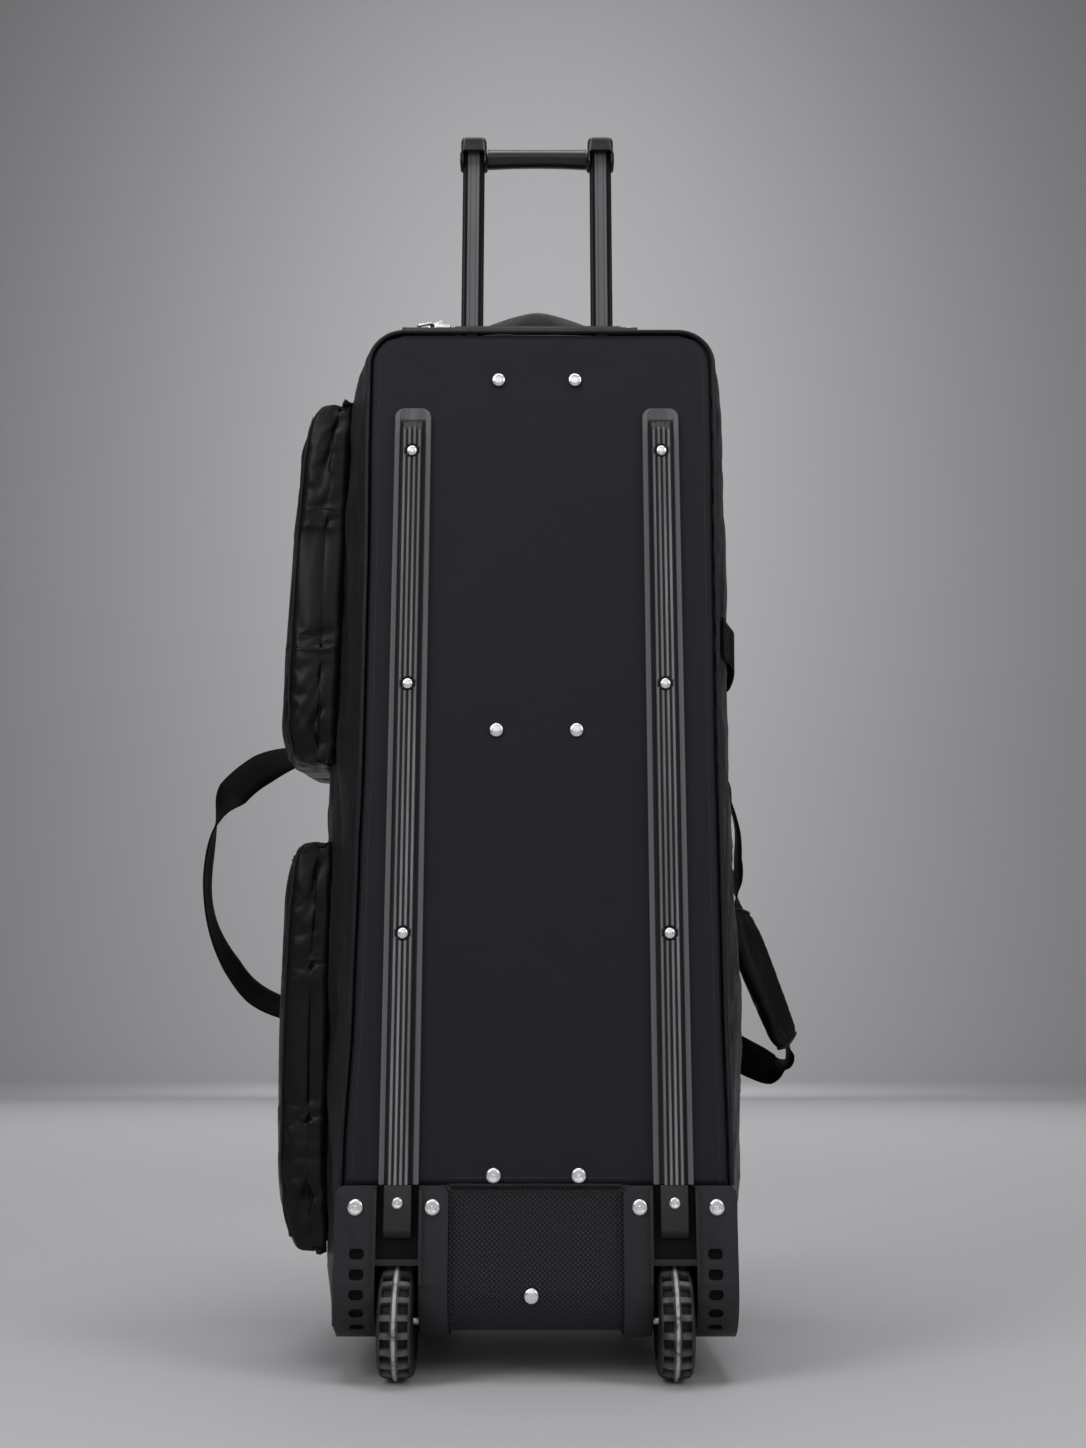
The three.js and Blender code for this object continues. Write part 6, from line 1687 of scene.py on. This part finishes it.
def all_studs():
    for side in (-1, 1):
        word = side_name(side)
        x = side * RAIL_X
        rail_places = [(x, BAR_FACE - GAP, z) for z in STUD_HEIGHTS]
        studs(
            f"rail_rivets_{word}", rail_places, 10, STUD_PROFILE,
            [f"rail_stud_{word}_{i}" for i in (1, 2, 3)]
        )
        studs(
            f"rail_end_rivet_{word}", [(x, -11.0, BASE_SEAM - 14)], 10, SCREW_PROFILE,
            [f"rail_end_stud_{word}"]
        )
        screws = [(x + side * (GUARD_OUTER - 18), GUARD_FACE - GAP, BASE_SEAM - 18),
                  (x - side * (GUARD_INNER - 14), GUARD_FACE - GAP, BASE_SEAM - 18)]
        nodes = [f"guard_screw_outer_{word}", f"guard_screw_inner_{word}"]
        studs(f"guard_screws_{word}", screws, 14, SCREW_PROFILE, nodes)
        panel = [(side * PANEL_STUD_X, -GAP, z) for z in PANEL_RIVET_HEIGHTS]
        studs(f"face_rivets_{word}", panel, 13, STUD_PROFILE, [f"panel_stud_{word}_{i}" for i in (1, 2)])
        screw = [(side * PANEL_STUD_X, -GAP, PANEL_SCREW_HEIGHT)]
        studs(f"face_screw_{word}", screw, 13.5, SCREW_PROFILE, [f"panel_stud_{word}_3"])
    studs("base_rivet", [(-4, -GAP, FLOOR_CLEARANCE + 35)], 13, STUD_PROFILE, ["base_stud"])


def pill_cutter(x, y, z, size, radius, tilt=0.0):
    """A block with rounded corners seen from the skid-rail face, for pressing a hollow into a moulding."""
    wide, deep, tall = (n / 2 for n in size)
    outline = []
    for k in range(24):
        angle = 2 * math.pi * (k + 0.5) / 24
        cx = math.copysign(wide - radius, math.cos(angle))
        cz = math.copysign(tall - radius, math.sin(angle))
        outline.append((cx + radius * math.cos(angle), cz + radius * math.sin(angle)))
    points = [(px * MM, py * MM, pz * MM) for py in (-deep, deep) for px, pz in outline]
    count = len(outline)
    faces = [tuple(range(count)), tuple(reversed(range(count, 2 * count)))]
    faces += [(k, k + count, (k + 1) % count + count, (k + 1) % count) for k in range(count)]
    mesh = bpy.data.meshes.new("cutter")
    mesh.from_pydata(points, [], faces)
    work = bmesh.new()
    work.from_mesh(mesh)
    bmesh.ops.recalc_face_normals(work, faces=work.faces)
    work.to_mesh(mesh)
    work.free()
    mesh.transform(Matrix.Translation(place(x, y, z)) @ Matrix.Rotation(tilt, 4, "X"))
    cutter = bpy.data.objects.new("cutter", mesh)
    bpy.context.scene.collection.objects.link(cutter)
    return cutter


def guards():
    """Corner guards with a column of pressed slots that follows the face round its bend."""
    for side in (-1, 1):
        word = side_name(side)
        x = side * (RAIL_X + GUARD_OUTER - 20)
        cutters = []
        for k in range(2):
            cutters.append(
                pill_cutter(x, GUARD_FACE, BASE_SEAM - 57 - k * 17, GUARD_SLOT, GUARD_SLOT_CORNER)
            )
        cutters.append(pill_cutter(side * RAIL_X, GUARD_FACE, BASE_SEAM - 31, (38, 5.6, 61), 2.5))
        radius = BASE_BEND + GAP + 5
        for angle in (10.3, 29.7, 49.0):
            a = math.radians(angle)
            y = BASE_BEND - radius * math.cos(a)
            z = FLOOR_CLEARANCE + BASE_BEND - radius * math.sin(a)
            cutters.append(pill_cutter(x, y, z, GUARD_SLOT, GUARD_SLOT_CORNER, a))
        refined(
            f"corner_guard_{word}", f"guard_{word}", "guard", "bag", "guard_plastic", 0.7, cutters=cutters
        )


def tyre(side):
    """Ladder tread: a raised centre rib with a ring of sunk windows each side of it."""
    word = side_name(side)
    half = WHEEL_WIDTH / 2
    bore = 32.3
    cell = 14
    stations = TREAD_LUGS * cell
    profile = [(-half, bore), (-half, 39), (-half + 0.3, 42.4), (-half + 1.3, 44.8), (-half + 2.6, 46.2)]
    profile += [
        (u, 46.4 + 2.0 * (1 - (u / 12.7) ** 2)) for u in (-12.3, -11.5, -10.9, -9.5, -7.5, -5.5, -3.7, -3.1)
    ]
    profile += [(-2.3, 48.7), (-1.7, 49.7), (-0.9, 50), (0, 50)]
    profile += [(-u, r) for u, r in reversed(profile[:-1])]

    def window(u, share):
        across = smoothstep((abs(u) - 2.9) / 0.9) * smoothstep((12.0 - abs(u)) / 1.0)
        return across * smoothstep((share - 0.16) / 0.09) * smoothstep((0.84 - share) / 0.09)

    def point(i, j):
        u, r = profile[j % len(profile)]
        if r > 46:
            r -= 4.6 * window(u, (i / cell) % 1)
        angle = 2 * math.pi * (i + 0.4 * cell) / stations
        return side * RAIL_X + u, WHEEL_DEPTH + r * math.cos(angle), WHEEL_RADIUS + r * math.sin(angle)

    piece = grid_piece(f"ladder_tyre_{word}", point, stations, len(profile), "tyre", ring=True)
    layer = piece.data.uv_layers["UVMap"]
    proud = piece.data.attributes.new("proud", "FLOAT", "POINT")
    for loop in piece.data.loops:
        i, j = divmod(loop.vertex_index, len(profile))
        layer.data[loop.index].uv = (i * 0.0013, profile[j][0] * MM)
        proud.data[loop.vertex_index].value = 1 - window(profile[j][0], (i / cell) % 1)
    work = bmesh.new()
    work.from_mesh(piece.data)
    bmesh.ops.remove_doubles(work, verts=work.verts, dist=1e-6)
    bmesh.ops.recalc_face_normals(work, faces=work.faces)
    work.to_mesh(piece.data)
    work.free()
    piece.data.polygons.foreach_set("use_smooth", [True] * len(piece.data.polygons))
    piece.data.set_sharp_from_angle(angle=math.radians(38))
    return finished(piece, f"wheel_{word}", "tyre", f"tyre_{word}")


RAIL_HALF = [
    (17.5, 0.3), (17.5, 3.8), (17.0, 4.5), (12.9, 4.5), (12.5, 4.1), (12.2, 1.9), (10.0, 1.9), (9.5, 2.6),
    (9.35, 8.3),
    (9.0, 8.9), (8.6, 8.9), (8.35, 10.8), (7.9, 11.3), (6.5, 11.3), (6.05, 10.8), (5.8, 8.9), (3.8, 8.9),
    (3.55, 10.8), (3.1, 11.3), (1.7, 11.3), (1.25, 10.8), (1.0, 8.9), (0.0, 8.9),
]
RAIL_CORNER = 9
RAIL_LIP_FACE = 4.5


def skid_rail(side):
    """A rail with its flat rounded flange, its two channels and the ribbed bar that ramps up between them."""
    word = side_name(side)
    section = RAIL_HALF + [(-x, h) for x, h in reversed(RAIL_HALF[:-1])]
    drops = [0, 0, 0.5, 1.3, 2.6, 4.3, 6.5, 9, 11, 12.5, 14, 15.5, 17, 19, 21, 23, 25, 27, 32]
    heights = [RAIL_HEAD - drop for drop in drops]
    around = [8, 7.1, 6.4, 5.6, 4.2, 2.2, 0]
    for z in STUD_HEIGHTS:
        heights += [z + d for d in around] + [z - d for d in reversed(around[:-1])]
    z = RAIL_HEAD - 60
    while z > BASE_SEAM + 4:
        if all(abs(z - stud) > 12 for stud in STUD_HEIGHTS):
            heights.append(z)
        z -= 24
    heights += [BASE_SEAM + 1, BASE_SEAM + 1]
    heights = sorted(heights, reverse=True)
    last = len(heights) - 1

    def point(i, j):
        z = heights[i]
        drop = RAIL_HEAD - z
        x, h = section[j]
        half = RAIL_WIDTH / 2
        if drop < RAIL_CORNER:
            half += math.sqrt(RAIL_CORNER**2 - (RAIL_CORNER - drop) ** 2) - RAIL_CORNER
        if abs(x) < 12.4:
            start = 12 + (2.5 if abs(x) > 9.4 else abs(x) * 0.12)
            run = 2.5 if abs(x) > 9.4 else 13
            h = lerp(RAIL_LIP_FACE, h, smoothstep((drop - start) / run))
        for stud in STUD_HEIGHTS:
            away = math.hypot(x, z - stud)
            if away < 7.1:
                h = min(h, 8.9 if away < 5.9 else 7.4)
        if i in (0, last):
            h = 0.3
        return side * RAIL_X + x * half / (RAIL_WIDTH / 2), -h, z

    piece = grid_piece(f"skid_rail_{word}", point, last, len(section) - 1, "rail")
    layer = piece.data.uv_layers["UVMap"]
    proud = piece.data.attributes.new("proud", "FLOAT", "POINT")
    for loop in piece.data.loops:
        i, j = divmod(loop.vertex_index, len(section))
        layer.data[loop.index].uv = (heights[i] * MM, section[j][0] * MM)
        # proud sets the rail finish's painted light and shade: 1.0 on rib tops, 0.12 in channels and grooves,
        # 0.62 on the ramped head
        rise = -point(i, j)[1]
        proud.data[loop.vertex_index].value = 1.0 if rise > 10.6 else 0.12
        if RAIL_HEAD - heights[i] < 12.4:
            proud.data[loop.vertex_index].value = 0.62
    cap_ends(piece)
    piece.data.set_sharp_from_angle(angle=math.radians(34))
    return finished(piece, "bag", "rail_plastic", f"rail_{word}")


def hard_pieces():
    for side in (-1, 1):
        word = side_name(side)
        skid_rail(side)
        refined(f"rail_block_{word}", f"rail_end_{word}", "block", "bag", "rail_plastic", 0.8)
        tyre(side)
        refined(f"wheel_hub_{word}", f"hub_{word}", "hub", f"wheel_{word}", "wheel_plastic", 0.5, 28)
        refined(f"wheel_axle_{word}", f"axle_{word}", "steel", "bag", "steel", 0.4)
        refined(f"front_foot_{word}", f"foot_{word}", "guard", "bag", "guard_plastic", 0.8)
        refined(f"pull_tube_{word}", f"handle_tube_{word}", "tube", "handle", "tube", 0.25, 28)
        notch = pill_cutter(side * TUBE_X, 9, 1170, (TUBE_WIDTH + 0.8, 10, 26), 2.5)
        cap = f"tube_cap_{word}"
        refined(cap, f"handle_cap_{word}", "handle", "handle", "handle_plastic", 0.7, 34, cutters=[notch])
    refined("pull_grip", "handle_grip", "handle", "handle", "handle_plastic", 0.4, 40)
    refined("slider_body", "zip_slider", "nickel", "bag", "nickel", 0.3)
    refined("slider_pull", "zip_pull", "nickel", "pull", "nickel", 0.3)
    refined("zip_end_stop", "zip_stop", "nickel", "bag", "nickel", 0.5)
    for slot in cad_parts["trolley_frame"].material_slots:
        slot.material = FINISHES["tube"]


# Stage, light and camera
def studio():
    width, far, high, bend = 44, 14.0, 17.0, 3.2
    path = [(-12.0, 0.0), (far - bend, 0.0)]
    for k in range(1, 17):
        angle = math.pi / 2 * k / 16
        path.append((far - bend + bend * math.sin(angle), bend - bend * math.cos(angle)))
    path.append((far, high))
    points = [(x, y, z) for y, z in path for x in (-width / 2, width / 2)]
    faces = [(2 * i, 2 * i + 1, 2 * i + 3, 2 * i + 2) for i in range(len(path) - 1)]
    mesh = bpy.data.meshes.new("studio_floor")
    mesh.from_pydata(points, [], faces)
    mesh.polygons.foreach_set("use_smooth", [True] * len(mesh.polygons))
    paper = Finish("floor_paper", (0.535, 0.535, 0.55), 0.7)
    paper.set("Roughness", 0.6 + paper.noise(paper.object_place(), 3.0) * 0.15)
    mesh.materials.append(paper.material)
    floor = bpy.data.objects.new("studio_floor", mesh)
    bpy.context.scene.collection.objects.link(floor)

    def area(name, spot, target, size, power, spread=180):
        light = bpy.data.lights.new(name, "AREA")
        light.shape = "RECTANGLE"
        light.size, light.size_y = size
        light.energy = power
        light.spread = math.radians(spread)
        lamp = bpy.data.objects.new(name, light)
        lamp.location = spot
        lamp.rotation_euler = (Vector(target) - Vector(spot)).to_track_quat("-Z", "Y").to_euler()
        lamp.visible_camera = False
        bpy.context.scene.collection.objects.link(lamp)

    area("key_softbox", (-2.3, -2.2, 2.7), (0, 0, 0.6), (1.4, 2.2), 42)
    area("fill_softbox", (2.6, -2.0, 2.2), (0, 0, 0.5), (1.2, 2.2), 30)
    area("top_softbox", (0, -0.3, 3.4), (0, 0, 0.6), (2.6, 1.8), 50)
    area("front_softbox", (0, -5.6, 2.4), (0, 0, 0.6), (5.0, 3.6), 50)
    area("floor_light", (0, -2.4, 2.6), (0, -0.4, 0), (2.6, 1.0), 3)
    area("middle_floor_light", (0, 4.6, 3.0), (0, 4.6, 0), (7.0, 5.2), 66, 110)
    area("backdrop_light", (0, 6.8, 7.5), (0, 14.0, 7.5), (1.0, 12.4), 480)
    world = bpy.data.worlds.new("studio_air")
    world.use_nodes = True
    world.node_tree.nodes["Background"].inputs["Color"].default_value = (0.72, 0.74, 0.78, 1)
    world.node_tree.nodes["Background"].inputs["Strength"].default_value = 0.12
    bpy.context.scene.world = world


IMAGE_HEIGHT = 1448
SENSOR_HEIGHT = 36
FOCAL_PIXELS = 1500
CAMERA_PLACE = (6.1, -1372, 286)
CAMERA_PITCH = 12.05


def camera():
    data = bpy.data.cameras.new("camera")
    data.sensor_width = SENSOR_HEIGHT
    data.lens = FOCAL_PIXELS / IMAGE_HEIGHT * data.sensor_width
    data.clip_start = 0.05
    data.clip_end = 60
    eye = bpy.data.objects.new("camera", data)
    eye.location = place(*CAMERA_PLACE)
    eye.rotation_euler = (math.radians(90 + CAMERA_PITCH), 0, 0)
    bpy.context.scene.collection.objects.link(eye)
    bpy.context.scene.camera = eye


camera()
studio()
bpy.context.scene.view_settings.view_transform = "Standard"
side_band()
back_cloth()
base_cloth()
front_pieces()
seam_piping()
upper_pouch = pocket("upper_pocket_cloth", UPPER_POCKET, "upper_pocket", 1.7, UPPER_TUCKS)
lower_pouch = pocket("lower_pocket_cloth", LOWER_POCKET, "lower_pocket", 4.3, LOWER_TUCKS)
pocket_zip("upper_zip_tape", UPPER_POCKET, "upper_pocket_zip", upper_pouch)
pocket_zip("lower_zip_tape", LOWER_POCKET, "lower_pocket_zip", lower_pouch)
strap("left_carry_strap", LEFT_STRAP, -1, "left_strap")
strap("right_carry_strap", RIGHT_STRAP, 1, "right_strap")
grip_wrap()
side_handle()
handle_zip()
handle_flap()
guards()
hard_pieces()
all_studs()
